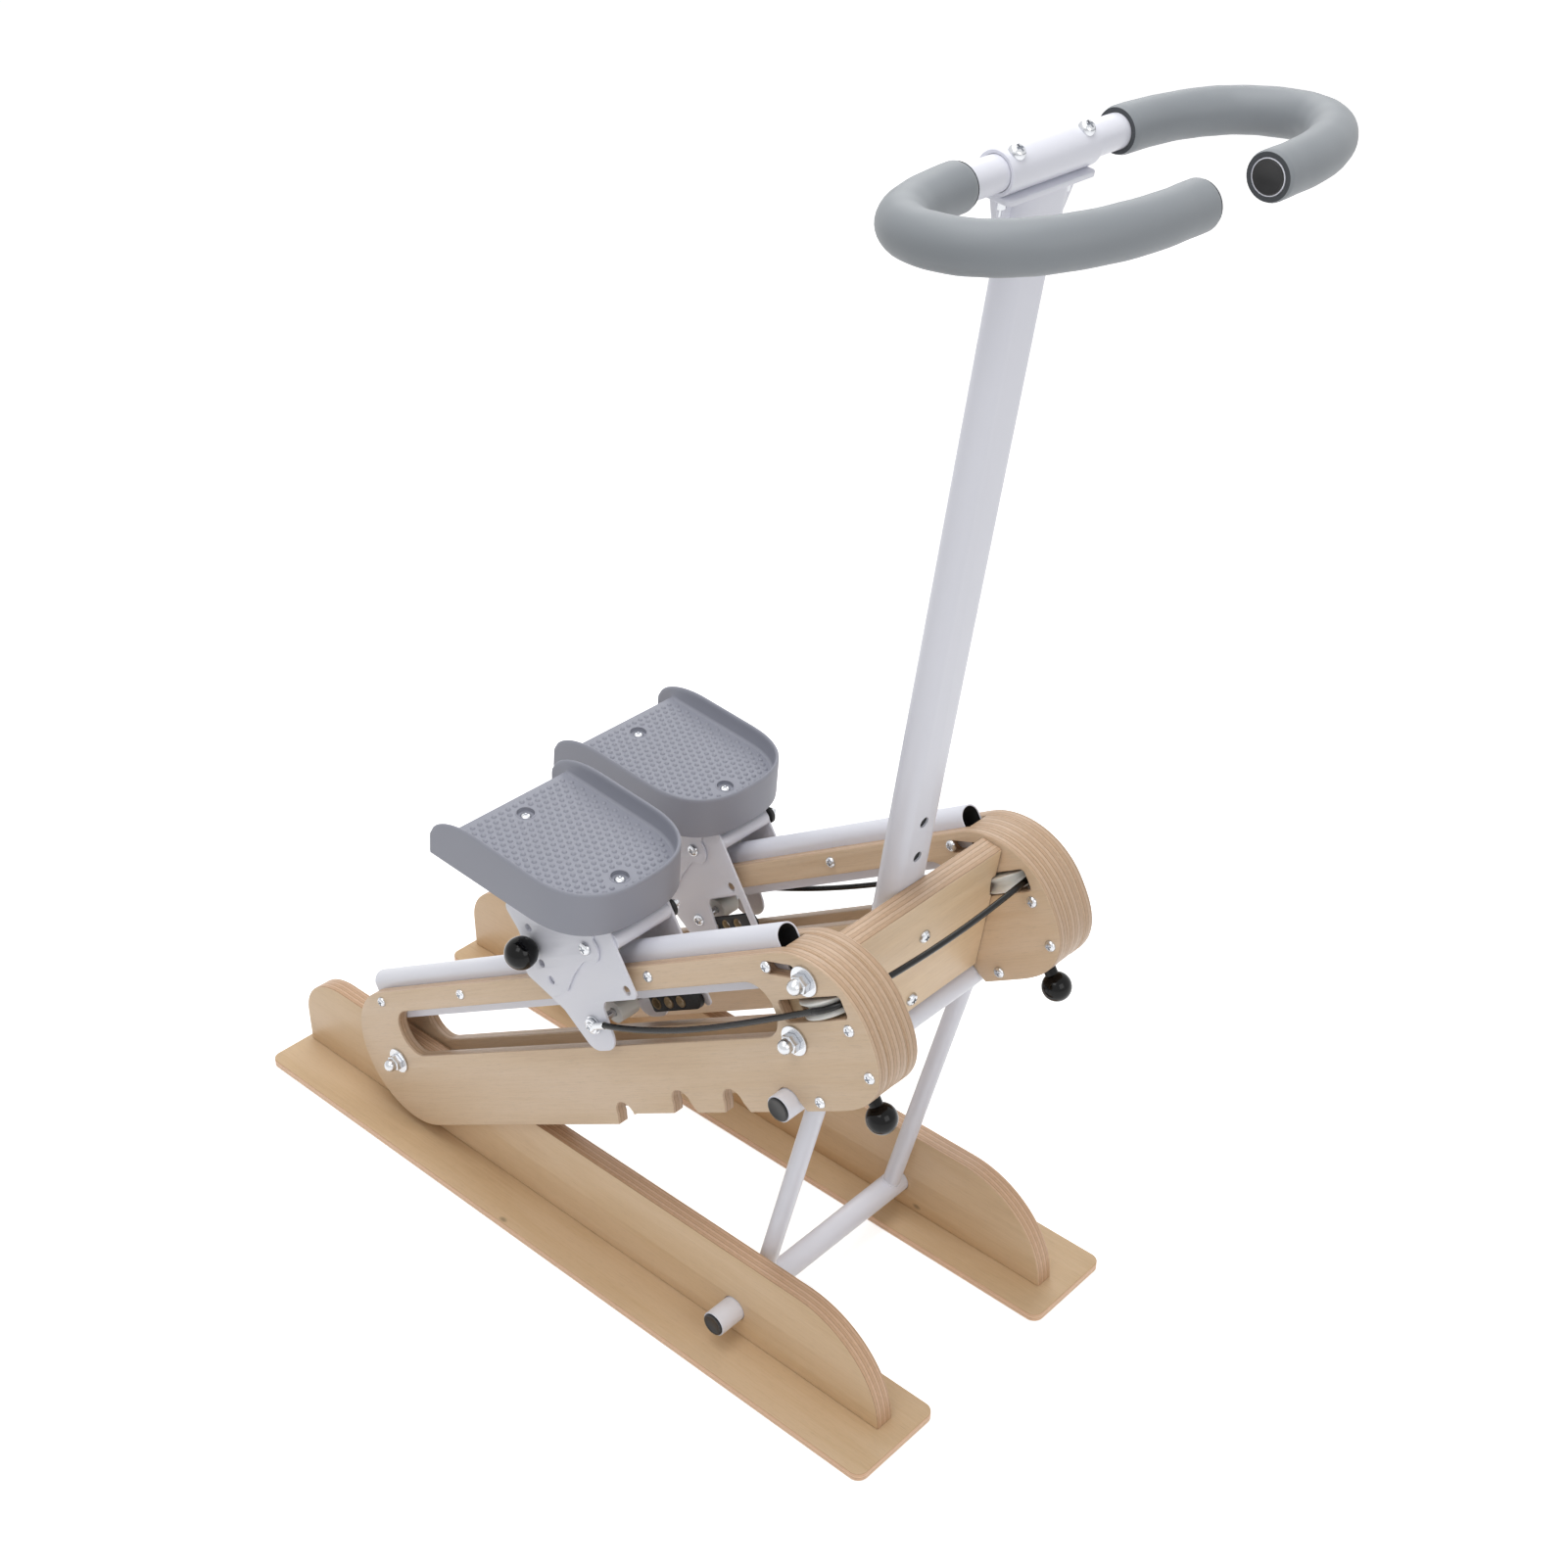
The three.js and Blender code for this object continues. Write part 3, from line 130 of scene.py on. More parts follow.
ground = turned(0, -originAhead)
trackPlace = turned(trackSlope, rearPivot[0] - originAhead, rearPivot[1])
beamPlace = trackPlace @ turned(-(trackSlope + columnLean), 669.5, 8.6)
barPlace = beamPlace @ turned(columnLean + 3, columnY, sleeveZ)
carriagePlace = {side: trackPlace @ turned(0, carriageU[side], 107) for side in (1, -1)}
pedalPlace = {side: carriagePlace[side] @ turned(pedalTurn, *pedalRoot) for side in (1, -1)}


# points in millimetres go through the place; a mirrored place turns the faces over
def addMesh(points, faces, place):
    full = np.c_[points, np.ones(len(points))] @ place.T * 0.001
    if np.linalg.det(place[:3, :3]) < 0:
        faces = [face[::-1] for face in faces]
    mesh = bpy.data.meshes.new("part")
    mesh.from_pydata(full[:, :3].tolist(), [], [list(map(int, face)) for face in faces])
    mesh.validate()
    return mesh


# smooth shading, with a hard edge wherever two faces meet at more than the angle
def smoothed(mesh, angle):
    mesh.polygons.foreach_set("use_smooth", np.ones(len(mesh.polygons), dtype=bool))
    mesh.set_sharp_from_angle(angle=math.radians(angle))
    mesh.update()
    return mesh


# doubles merged, slivers dissolved and faces turned outwards
def outward(mesh, smoothAngle=35):
    work = bmesh.new()
    work.from_mesh(mesh)
    bmesh.ops.remove_doubles(work, verts=work.verts, dist=1e-6)
    bmesh.ops.dissolve_degenerate(work, edges=work.edges, dist=1e-7)
    bmesh.ops.recalc_face_normals(work, faces=work.faces)
    work.to_mesh(mesh)
    work.free()
    return smoothed(mesh, smoothAngle)


# one object from one or several meshes, with its ride, its material's slot and the node it stands for
def addPiece(name, meshes, body, material, node=None):
    if not isinstance(meshes, list):
        meshes = [meshes]
    piece = addObject(name, meshes[0])
    piece.data.name = name
    if len(meshes) > 1:
        joined = bmesh.new()
        for mesh in meshes:
            joined.from_mesh(mesh)
        joined.to_mesh(piece.data)
        joined.free()
        for mesh in meshes[1:]:
            bpy.data.meshes.remove(mesh)
    piece.data.materials.clear()
    piece.data.materials.append(material)
    if node:
        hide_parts(node)
    if body:
        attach(piece, body)
    return piece


# four-sided faces over a grid of rows by columns, wrapping round where asked
def gridFaces(rows, columns, closeRows=False, closeColumns=True):
    r = np.arange(rows if closeRows else rows - 1)
    c = np.arange(columns if closeColumns else columns - 1)
    rr, cc = np.meshgrid(r, c, indexing="ij")
    up, along = (rr + 1) % rows, (cc + 1) % columns
    corners = [rr * columns + cc, rr * columns + along, up * columns + along, up * columns + cc]
    return np.stack(corners, axis=-1).reshape(-1, 4).tolist()


# one face over the first row of a grid and one over its last
def endFaces(rows, columns):
    return [list(range(columns)), list(range((rows - 1) * columns, rows * columns))[::-1]]


# a profile of (radius, place along the axis) spun about the axis; its ends close on the axis unless they meet
def lathe(profile, place, axis="x", centre=(0, 0, 0), segments=40, smoothAngle=35, ring=1.0):
    profile = np.asarray(profile, dtype=float)
    angle = np.linspace(0, 2 * math.pi, segments, endpoint=False)
    a = profile[:, :1] * np.cos(angle) * ring
    b = profile[:, :1] * np.sin(angle) * ring
    t = np.repeat(profile[:, 1:], segments, axis=1)
    order = {"x": (t, a, b), "y": (b, t, a), "z": (a, b, t)}[axis]
    points = np.stack(order, axis=-1).reshape(-1, 3) + np.asarray(centre, dtype=float)
    closed = bool(np.allclose(profile[0], profile[-1]))
    rows = len(profile) - 1 if closed else len(profile)
    faces = [face[::-1] for face in gridFaces(rows, segments, closeRows=closed)]
    if not closed:
        faces += endFaces(rows, segments)
    return outward(addMesh(points[:rows * segments], faces, place), smoothAngle)


# a plain round rod from start to end along the axis
def rod(radius, start, end, place, axis="x", centre=(0, 0, 0), segments=24):
    return lathe([(0, start), (radius, start), (radius, end), (0, end)], place, axis, centre, segments)


# points on a circle round zero, evenly spaced
def roundSection(radius, count):
    angle = np.linspace(0, 2 * math.pi, count, endpoint=False)
    return np.c_[radius * np.cos(angle), radius * np.sin(angle)]


# rings of (across, up) points carried along a path, square to its tangent
def ringPoints(path, rings):
    tangent = np.gradient(path, axis=0)
    tangent /= np.linalg.norm(tangent, axis=1, keepdims=True)
    across = np.cross(tangent, (0, 0, 1.0))
    across /= np.linalg.norm(across, axis=1, keepdims=True)
    rise = np.cross(across, tangent)
    return path[:, None] + rings[..., :1] * across[:, None] + rings[..., 1:] * rise[:, None]


# a round tube along a path
def sweep(path, radius, count, place, capped=True):
    points = ringPoints(path, roundSection(radius, count)[None])
    faces = gridFaces(len(path), count)
    if capped:
        faces += endFaces(len(path), count)
    return outward(addMesh(points.reshape(-1, 3), faces, place), 50)


# points on an ellipse, or on a squarer curve for a power over two
def arc(cy, cz, ry, rz, start, end, count=16, power=2.0):
    a = np.radians(np.linspace(start, end, count + 1))
    c, s = np.cos(a), np.sin(a)
    share = 2 / power
    return np.c_[cy + ry * np.sign(c) * np.abs(c) ** share, cz + rz * np.sign(s) * np.abs(s) ** share]


# a full circle, its last point left out because it is the first again
def circle(cy, cz, radius, count=28):
    return arc(cy, cz, radius, radius, 0, 360, count)[:-1]


# each corner of a closed outline swapped for an arc that touches both of its sides
def rounded(points, radius, count=7):
    points = np.asarray(points, dtype=float)
    radii = np.broadcast_to(np.asarray(radius, dtype=float), (len(points),))
    result = []
    for index, corner in enumerate(points):
        before = points[index - 1] - corner
        after = points[(index + 1) % len(points)] - corner
        lengthBefore, lengthAfter = np.linalg.norm(before), np.linalg.norm(after)
        before, after = before / lengthBefore, after / lengthAfter
        half = math.acos(max(-1, min(1, float(before @ after)))) / 2
        if half > 1.54 or radii[index] <= 0:
            result.append(corner[None])
            continue
        reach = min(radii[index] / math.tan(half), 0.48 * lengthBefore, 0.48 * lengthAfter)
        t = np.linspace(0, 1, count + 1)[:, None]
        start, end = corner + before * reach, corner + after * reach
        weight = 2 * math.sin(half) * t * (1 - t)
        blend = (1 - t) ** 2 * start + weight * corner + t ** 2 * end
        result.append(blend / ((1 - t) ** 2 + weight + t ** 2))
    return np.concatenate(result)


# a flat outline with holes, thick from low to high along one axis, with rounded edges
def plate(loops, low, high, along, place, bevel=0.8):
    curve = bpy.data.curves.new("outline", "CURVE")
    curve.dimensions = "2D"
    curve.fill_mode = "BOTH"
    curve.extrude = (high - low) / 2 - bevel
    curve.bevel_depth = bevel
    curve.offset = -bevel
    curve.bevel_resolution = 2
    for loop in loops:
        spline = curve.splines.new("POLY")
        spline.points.add(len(loop) - 1)
        flat = np.c_[loop, np.zeros(len(loop)), np.ones(len(loop))]
        spline.points.foreach_set("co", flat.ravel())
        spline.use_cyclic_u = True
    holder = addObject("outline", curve)
    bpy.context.view_layer.update()
    mesh = bpy.data.meshes.new_from_object(holder.evaluated_get(bpy.context.evaluated_depsgraph_get()))
    bpy.data.objects.remove(holder)
    bpy.data.curves.remove(curve)
    count = len(mesh.vertices)
    flat = np.empty(count * 3)
    mesh.vertices.foreach_get("co", flat)
    a, b, t = flat.reshape(-1, 3).T
    t = t + (low + high) / 2
    points = {"x": np.c_[t, a, b], "y": np.c_[a, t, b], "z": np.c_[a, b, t]}[along]
    full = np.c_[points, np.ones(count)] @ place.T * 0.001
    mesh.vertices.foreach_set("co", full[:, :3].ravel())
    return outward(mesh, 32)


# the mesh less each cutter
def carve(mesh, cutters):
    for cutter in cutters:
        body, tool = addObject("carveBody", mesh), addObject("carveTool", cutter)
        modifier = body.modifiers.new("carve", "BOOLEAN")
        modifier.operation = "DIFFERENCE"
        modifier.solver = "EXACT"
        modifier.object = tool
        bpy.context.view_layer.update()
        mesh = bpy.data.meshes.new_from_object(body.evaluated_get(bpy.context.evaluated_depsgraph_get()))
        bpy.data.objects.remove(body)
        bpy.data.objects.remove(tool)
        bpy.data.meshes.remove(cutter)
    return smoothed(mesh, 32)


# sRGB hex turned to the linear colour that shaders use
def linear(hexColour):
    parts = [int(hexColour[index:index + 2], 16) / 255 for index in (0, 2, 4)]
    return tuple(p / 12.92 if p <= 0.04045 else ((p + 0.055) / 1.055) ** 2.4 for p in parts) + (1,)


# a node with its fields and sockets set, and other sockets linked to the given outputs
def addNode(tree, kind, settings=None, links=None):
    node = tree.nodes.new(kind)
    for key, value in (settings or {}).items():
        if key.startswith("in:"):
            node.inputs[key[3:]].default_value = value
        else:
            setattr(node, key, value)
    for key, output in (links or {}).items():
        tree.links.new(output, node.inputs[key])
    return node


# a Math node: numbers set its sockets in turn, outputs of other nodes are linked to them
def calc(tree, operation, *values, kind="ShaderNodeMath"):
    node = addNode(tree, kind, {"operation": operation})
    for socket, value in zip(node.inputs, values):
        if isinstance(value, bpy.types.NodeSocket):
            tree.links.new(value, socket)
        elif value is not None:
            socket.default_value = value
    return node.outputs["Value" if operation == "DOT_PRODUCT" else 0]


# the same for a Vector Math node
def vectorCalc(tree, operation, *values):
    return calc(tree, operation, *values, kind="ShaderNodeVectorMath")


# a colour times one number
def scaled(tree, colour, factor):
    return vectorCalc(tree, "SCALE", colour, None, None, factor)


# a value's share of a range from start to end, carried over to the range from low to high and kept inside it
def ranged(tree, value, start, end, low, high):
    settings = {"in:From Min": start, "in:From Max": end, "in:To Min": low, "in:To Max": high}
    return addNode(tree, "ShaderNodeMapRange", settings, {"Value": value}).outputs[0]


# fractal noise of scale cells for each unit of the vector
def noise(tree, vector, detail, rough=0.5, distortion=0.0, scale=1.0):
    settings = {"in:Scale": scale, "in:Detail": detail, "in:Roughness": rough, "in:Distortion": distortion}
    return addNode(tree, "ShaderNodeTexNoise", settings, {"Vector": vector}).outputs["Fac"]


# tilts the shader's normal by the slope of a height
def addBump(tree, shader, height, strength, distance):
    bump = addNode(tree, "ShaderNodeBump", {"in:Strength": strength, "in:Distance": distance}, {"Height": height})
    tree.links.new(bump.outputs["Normal"], shader.inputs["Normal"])


# a material with one principled shader, its settings given by socket name
def newMaterial(name, shader):
    material = bpy.data.materials.new(name)
    material.use_nodes = True
    principled = material.node_tree.nodes["Principled BSDF"]
    for key, value in shader.items():
        principled.inputs[key].default_value = value
    return material, material.node_tree, principled


# a colour looked up by a factor between stops of (place, hex colour)
def colourRamp(tree, factor, stops):
    ramp = addNode(tree, "ShaderNodeValToRGB", {}, {"Fac": factor})
    while len(ramp.color_ramp.elements) < len(stops):
        ramp.color_ramp.elements.new(0.5)
    for element, (position, colour) in zip(ramp.color_ramp.elements, stops):
        element.position = position
        element.color = linear(colour)
    return ramp.outputs["Color"]


# lengths are the millimetres of one cell along the grain, across it and through the sheet
plywoodSettings = dict(
    shader={"Roughness": 0.46, "IOR": 1.5, "Coat Weight": 0.12, "Coat Roughness": 0.3},
    faceStops=[(0.2, "c9b08c"), (0.45, "d6c09c"), (0.62, "dcc8a8"), (0.85, "cfb792")],
    edgeStops=[(0.0, "96775b"), (0.03, "96775b"), (0.07, "cdb196"), (0.46, "c9ac90"), (0.5, "ab8b6e"),
                  (0.53, "ab8b6e"), (0.58, "c4a588"), (0.97, "bf9f81"), (1.0, "96775b")],
    figure=(420, 60, 40),
    streak=(90, 2.6, 3),
    streakShare=0.34,
    pores=(14, 0.8, 1),
    knots=(130, 75, 200),
    waver=(60, 60, 9),
    waverShare=0.16,
    cutEnd=(4, 4, 1),
)


# birch plywood, sanded and clear lacquered: pale, faintly streaked faces along the grain, and edges that show the
# glued plies as thin light and brown lines. The lacquer gives a soft wide sheen
def plywood(name, thicknessAxis, grainAxis, faceTint, edgeTint=(1.0, 1.0, 1.0), plyPair=8.0):
    settings = plywoodSettings
    material, tree, shader = newMaterial(name, settings["shader"])
    place = addNode(tree, "ShaderNodeTexCoord")
    thick, grain = Vector(thicknessAxis).normalized(), Vector(grainAxis).normalized()
    axes = (grain, thick.cross(grain), thick)

    # distance along an axis, counted in lengths of the given millimetres
    def counted(axis, length):
        return vectorCalc(tree, "DOT_PRODUCT", place.outputs["Object"], tuple(axis * (1000 / length)))

    # the three distances as one vector, in the lengths of a setting
    def packed(key):
        parts = [counted(axis, length) for axis, length in zip(axes, settings[key])]
        return addNode(tree, "ShaderNodeCombineXYZ", {}, dict(zip("XYZ", parts))).outputs["Vector"]

    figure = noise(tree, packed("figure"), 4, 0.55, 0.6)
    streak = noise(tree, packed("streak"), 3, 0.6)
    pores = noise(tree, packed("pores"), 2, 0.7)
    mixed = calc(tree, "SUBTRACT", calc(tree, "MULTIPLY_ADD", streak, settings["streakShare"], figure), 0.16)
    faceColour = colourRamp(tree, mixed, settings["faceStops"])
    faceShaded = scaled(tree, faceColour, ranged(tree, pores, 0.28, 0.46, 0.88, 1.0))
    # a few small knots: brown cores with a soft rim, set far apart by a sparse cell pattern
    cellInputs = {"in:Scale": 1.0, "in:Randomness": 1.0}
    cells = addNode(tree, "ShaderNodeTexVoronoi", cellInputs, {"Vector": packed("knots")})
    knots = ranged(tree, cells.outputs["Distance"], 0.018, 0.05, 0.55, 1.0)
    tinted = vectorCalc(tree, "MULTIPLY", scaled(tree, faceShaded, knots), faceTint)

    # the plies: a wave across the thickness, its lines bent a little and broken by the grain
    waver = noise(tree, packed("waver"), 2)
    layer = calc(tree, "MULTIPLY_ADD", waver, settings["waverShare"], counted(thick, plyPair))
    plies = colourRamp(tree, calc(tree, "FRACT", layer), settings["edgeStops"])
    endShade = ranged(tree, noise(tree, packed("cutEnd"), 3, 0.6), 0.3, 0.7, 0.86, 1.06)
    edgeColour = vectorCalc(tree, "MULTIPLY", scaled(tree, plies, endShade), edgeTint)

    facingAxis = vectorCalc(tree, "DOT_PRODUCT", place.outputs["Normal"], tuple(thick))
    isFace = calc(tree, "GREATER_THAN", calc(tree, "ABSOLUTE", facingAxis), 0.8)
    colour = addNode(tree, "ShaderNodeMix", {"data_type": "RGBA"}, {"Factor": isFace, 6: edgeColour, 7: tinted})
    tree.links.new(colour.outputs[2], shader.inputs["Base Color"])
    addBump(tree, shader, pores, 0.12, 0.0004)
    return material


# a plain colour with a fine noise in its surface height and a slight drift in its tone
def bumped(name, colour, shader, patternMm, strength, distanceMm, detail, tone):
    material, tree, principled = newMaterial(name, shader)
    position = addNode(tree, "ShaderNodeTexCoord").outputs["Object"]
    fine = noise(tree, position, detail, 0.6, scale=1000 / patternMm)
    shade = ranged(tree, noise(tree, position, 2, scale=9.0), 0.3, 0.7, 1 - tone, 1.0)
    tree.links.new(scaled(tree, linear(colour)[:3], shade), principled.inputs["Base Color"])
    addBump(tree, principled, fine, strength, distanceMm / 1000)
    return material


slopeRadians, leanRadians = math.radians(trackSlope), math.radians(columnLean)
upTrack = (0, math.cos(slopeRadians), math.sin(slopeRadians))
beamFront = (0, math.cos(leanRadians), -math.sin(leanRadians))
boardPly = plywood("birchPlywoodBoard", (0, 0, 1), (0, 1, 0),
                   (0.95, 0.86, 0.8), (1.5, 1.42, 1.36), 4.5)
finPly = plywood("birchPlywoodFin", (1, 0, 0), (0, 1, 0), (1.04, 0.94, 0.88), (1.16, 1.08, 1.02), 6.0)
panelPly = plywood("birchPlywoodPanel", (1, 0, 0), upTrack, (1.02, 0.96, 1.0))
blockPly = plywood("birchPlywoodBlock", (1, 0, 0), upTrack, (0.98, 0.91, 0.86))
beamPly = plywood("birchPlywoodBeam", beamFront, (1, 0, 0), (1.1, 1.03, 1.02))

# powder-coated steel: baked white polyester over steel tube, smooth with a faint orange peel
whiteCoat = bumped("whitePowderCoat", "e6e7f0", {"Roughness": 0.33, "IOR": 1.5},
                   1.6, 0.05, 0.05, 2, 0.02)
# zinc-plated steel: bright, slightly uneven plating that blurs what it mirrors
zinc = bumped("zincPlatedSteel", "d8dade", {"Metallic": 1.0, "Roughness": 0.27}, 2.5, 0.06, 0.05, 2, 0.12)
# painted shade inside the tubes: a nearly black, dull lining that stands in for the shade there, so that bores and
# cut ends look deep
paintedShade = bumped("paintedShadeInTubes", "161618", {"Roughness": 0.75, "IOR": 1.5}, 2.0, 0.1, 0.05, 2, 0.2)
# phenolic resin, compression moulded and polished: the ball knobs are nearly black and mirror the lamps
knobResin = bumped("phenolicKnob", "050506", {"Roughness": 0.1, "IOR": 1.33},
                   6.0, 0.02, 0.02, 1, 0.1)
# polyethylene caps, moulded: black with a dull sheen
capPlastic = bumped("polyethyleneCap", "131315", {"Roughness": 0.42, "IOR": 1.5},
                    0.9, 0.12, 0.05, 3, 0.1)
# closed-cell nitrile foam, extruded as a tube: matt skin with fine pits and a soft grey bloom
foamShader = {"Roughness": 0.52, "IOR": 1.5, "Sheen Weight": 0.1, "Sheen Roughness": 0.5}
foamSkin = bumped("nitrileFoam", "8a8f94", foamShader, 1.3, 0.22, 0.16, 4, 0.07)
# the same foam where it is cut square: open cells, darker than the skin
foamCut = bumped("nitrileFoamCut", "4c4f53", {"Roughness": 0.85, "IOR": 1.45}, 0.8, 0.3, 0.15, 4, 0.1)
# unbleached rubber rings, moulded and pressed into the buffer: tan and dull
tanRubber = bumped("tanRubberRing", "a58f6c", {"Roughness": 0.6, "IOR": 1.5}, 1.0, 0.1, 0.04, 2, 0.1)
# polypropylene, injection moulded in a spark-eroded tool: grey, fine even grain, low sheen
pedalPlastic = bumped("polypropylenePedal", "9698a3", {"Roughness": 0.5, "IOR": 1.49},
                      0.8, 0.16, 0.07, 3, 0.03)
# nylon, turned or moulded: off-white, slightly waxy
whiteNylon = bumped("nylonRoller", "e4e3de",
                    {"Roughness": 0.38, "IOR": 1.53, "Subsurface Weight": 0.05}, 1.2, 0.06, 0.04, 2, 0.04)
# moulded rubber: black with a grey cast, dull
rubberBlack = bumped("mouldedRubber", "1b1b1c", {"Roughness": 0.6, "IOR": 1.5}, 0.7, 0.2, 0.06, 3, 0.12)
# steel cable coated with PVC by extrusion: smooth black skin with a clear highlight along it
cableSkin = bumped("pvcCableCoating", "050505", {"Roughness": 0.2, "IOR": 1.45}, 1.5, 0.08, 0.04, 2, 0.1)
print("stepper: materials made")


# a washer, a hexagon nut and its dome, stacked along x from x0
def acornNut(x0, way, centre, place):
    angle = np.linspace(0, 2 * math.pi, 48, endpoint=False)
    sixSided = math.cos(math.pi / 6) / np.cos((angle + math.pi / 6) % (math.pi / 3) - math.pi / 6)
    dome = [(6.8 * math.cos(a), 11.8 + 6.9 * math.sin(a)) for a in np.radians(np.linspace(0, 90, 9))[:-1]]
    stack = (([(0, 0), (13.6, 0), (14, 0.3), (14, 1.7), (13.6, 2), (0, 2)], 44, 35, 1.0),
             ([(0, 2), (8.4, 2), (9, 2.6), (9, 8.6), (7.8, 9.4), (0, 9.4)], 48, 25, sixSided),
             ([(0, 9), (6.8, 9), *dome, (0, 18.7)], 32, 35, 1.0))
    return [lathe(np.array(profile) * (1, way) + (0, x0), place, "x", centre, segments, smoothAngle, ring)
            for profile, segments, smoothAngle, ring in stack]


# a domed round head with a cross recess, standing on the surface at its centre
def panScrew(centre, direction, place, radius=5.6, height=3.4):
    t = np.radians(np.linspace(0, 90, 7))[:-1]
    dome = [(radius * math.cos(a) ** 0.55, height * math.sin(a)) for a in t]
    spot = place @ facing(centre, direction)
    head = lathe([(0, -0.4), (radius, -0.4), *dome, (0, height)], spot, "z", segments=28)
    arm, width, deep = radius * 0.52, radius * 0.15, height * 0.55
    cross = [(arm, width), (width, width), (width, arm), (-width, arm), (-width, width), (-arm, width),
             (-arm, -width), (-width, -width), (-width, -arm), (width, -arm), (width, -width), (arm, -width)]
    return carve(head, [plate([cross], height - deep, height + 1, "z", spot, 0.0001)])


# a straight round tube, the same at both ends; with an inner radius they are bored to a depth
def tubeBetween(start, end, radius, place, segments, inner=0.0, depth=0.0):
    length = float(np.linalg.norm(np.subtract(end, start)))
    half = [(0, 0), (radius - 0.3, 0), (radius, 0.3)]
    if inner:
        half = [(0, depth), (inner, depth), (inner, 0.3), (inner + 0.4, 0), (radius - 0.4, 0), (radius, 0.4)]
    profile = half + [(r, length - z) for r, z in half[::-1]]
    return lathe(profile, place @ facing(start, np.subtract(end, start)), "z", segments=segments)


# a thin bead along a closed path: its radius swells and shrinks in even ripples
def weldBead(path, thickness, place):
    closed = np.vstack([path[-1:], path, path[:1]])
    tangent = closed[2:] - closed[:-2]
    tangent /= np.linalg.norm(tangent, axis=1, keepdims=True)
    a = np.cross(tangent, (0.31, 0.52, 0.79))
    a /= np.linalg.norm(a, axis=1, keepdims=True)
    b = np.cross(tangent, a)
    ring = roundSection(1.0, 8)
    radius = thickness * (1 + 0.12 * np.sin(np.arange(len(path)) * 1.7))[:, None, None]
    points = path[:, None] + radius * (ring[None, :, :1] * a[:, None] + ring[None, :, 1:] * b[:, None])
    return outward(addMesh(points.reshape(-1, 3), gridFaces(len(path), 8, closeRows=True), place), 80)


baseSettings = dict(
    halfLength=438, halfWidth=54, boardShift=9, boardCorner=11, board=9,
    finHalf=10, finBottom=9.3, finTop=107.3, barHole=13.1, nutAt=24.8, shaft=6,
)


# boards are rectangles with round corners; each fin ends in a quarter ellipse in front and one behind
def makeBase(settings):
    half, wide, corner, shift = pick(settings, "halfLength halfWidth boardCorner boardShift")
    board = np.concatenate([
        arc(shift + sx * (wide - corner), sy * (half - corner), corner, corner, start, start + 90, 10)
        for sx, sy, start in ((1, 1, 0), (-1, 1, 90), (-1, -1, 180), (1, -1, 270))])
    low, high, thick, nutAt = pick(settings, "finBottom finTop finHalf nutAt")
    front, rear = half - 24, -half + 7
    fin = np.concatenate([[[rear, low], [front, low]], arc(front - 101, low, 101, high - low, 0, 90, 30)[1:],
                          arc(rear + 68, high - 58, 68, 58, 90, 180, 22)])
    hole = circle(*propFoot, settings["barHole"])
    pivot = (0, *rearPivot)
    for side in (1, -1):
        name = sideName[side]
        place = sided(ground, side)
        flat = plate([board], 0, settings["board"], "z", place, 0.9)
        addPiece(f"board_{name}", flat, "base", boardPly, f"base_board_{name}")
        upright = plate([fin, hole], -thick, thick, "x", place, 0.9)
        addPiece(f"fin_{name}", upright, "base", finPly, f"base_fin_{name}")
        nuts = acornNut(nutAt, 1, pivot, place) + acornNut(-nutAt, -1, pivot, place)
        nuts.append(rod(settings["shaft"], -nutAt, nutAt, place, "x", pivot))
        addPiece(f"pivot_bolt_rear_{name}", nuts, "base", zinc, f"rear_pivot_bolt_{name}")


makeBase(baseSettings)
print("stepper: base made")

propSettings = dict(
    half=160, radius=12.7, bore=11.2, boreDepth=13.5, legX=98, legRadius=9, weld=1.3,
    cap=((0, -12), (10.6, -12), (10.6, -0.4), (11.1, 0.1), (11.3, 0.5), (11.2, 1.2), (10.7, 1.6), (9.6, 1.7),
            (9.0, 1.3), (0, 1.2)),
)


# two bars and two legs; a weld runs where the leg's circle meets the round of the bar
def makeProp(settings, length):
    half, radius, legRadius, bore, deep = pick(settings, "half radius legRadius bore boreDepth")
    parts = [tubeBetween((-half, 0, z), (half, 0, z), radius, propPlace, 36, bore, deep) for z in (0, length)]
    across, along = roundSection(legRadius, 72).T
    for x in (settings["legX"], -settings["legX"]):
        parts.append(tubeBetween((x, 0, 2), (x, 0, length - 2), legRadius, propPlace, 36))
        for z, sign in ((0, 1), (length, -1)):
            path = np.c_[x + across, along, z + sign * np.sqrt(np.maximum(radius ** 2 - along ** 2, 4))]
            parts.append(weldBead(path, settings["weld"], propPlace))
    addPiece("prop_tubes", parts, "prop", whiteCoat, "prop_frame")
    for side in (1, -1):
        name = sideName[side]
        for label, z in (("bottom", 0), ("top", length)):
            cap = lathe(np.add(settings["cap"], (0, half)), sided(propPlace, side, 0), "x", (0, 0, z), 40)
            addPiece(f"prop_end_{label}_{name}", cap, "prop", capPlastic, f"prop_cap_{label}_{name}")


propTop, propBottom = (np.sum(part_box(f"prop_cap_{label}_right"), axis=0) * 500 for label in ("top", "bottom"))
propRise = propTop - propBottom
propPlace = turned(-math.degrees(math.atan2(propRise[1], propRise[2])), propFoot[0] - originAhead, propFoot[1])
makeProp(propSettings, float(np.hypot(propRise[1], propRise[2])))
print("stepper: prop made")

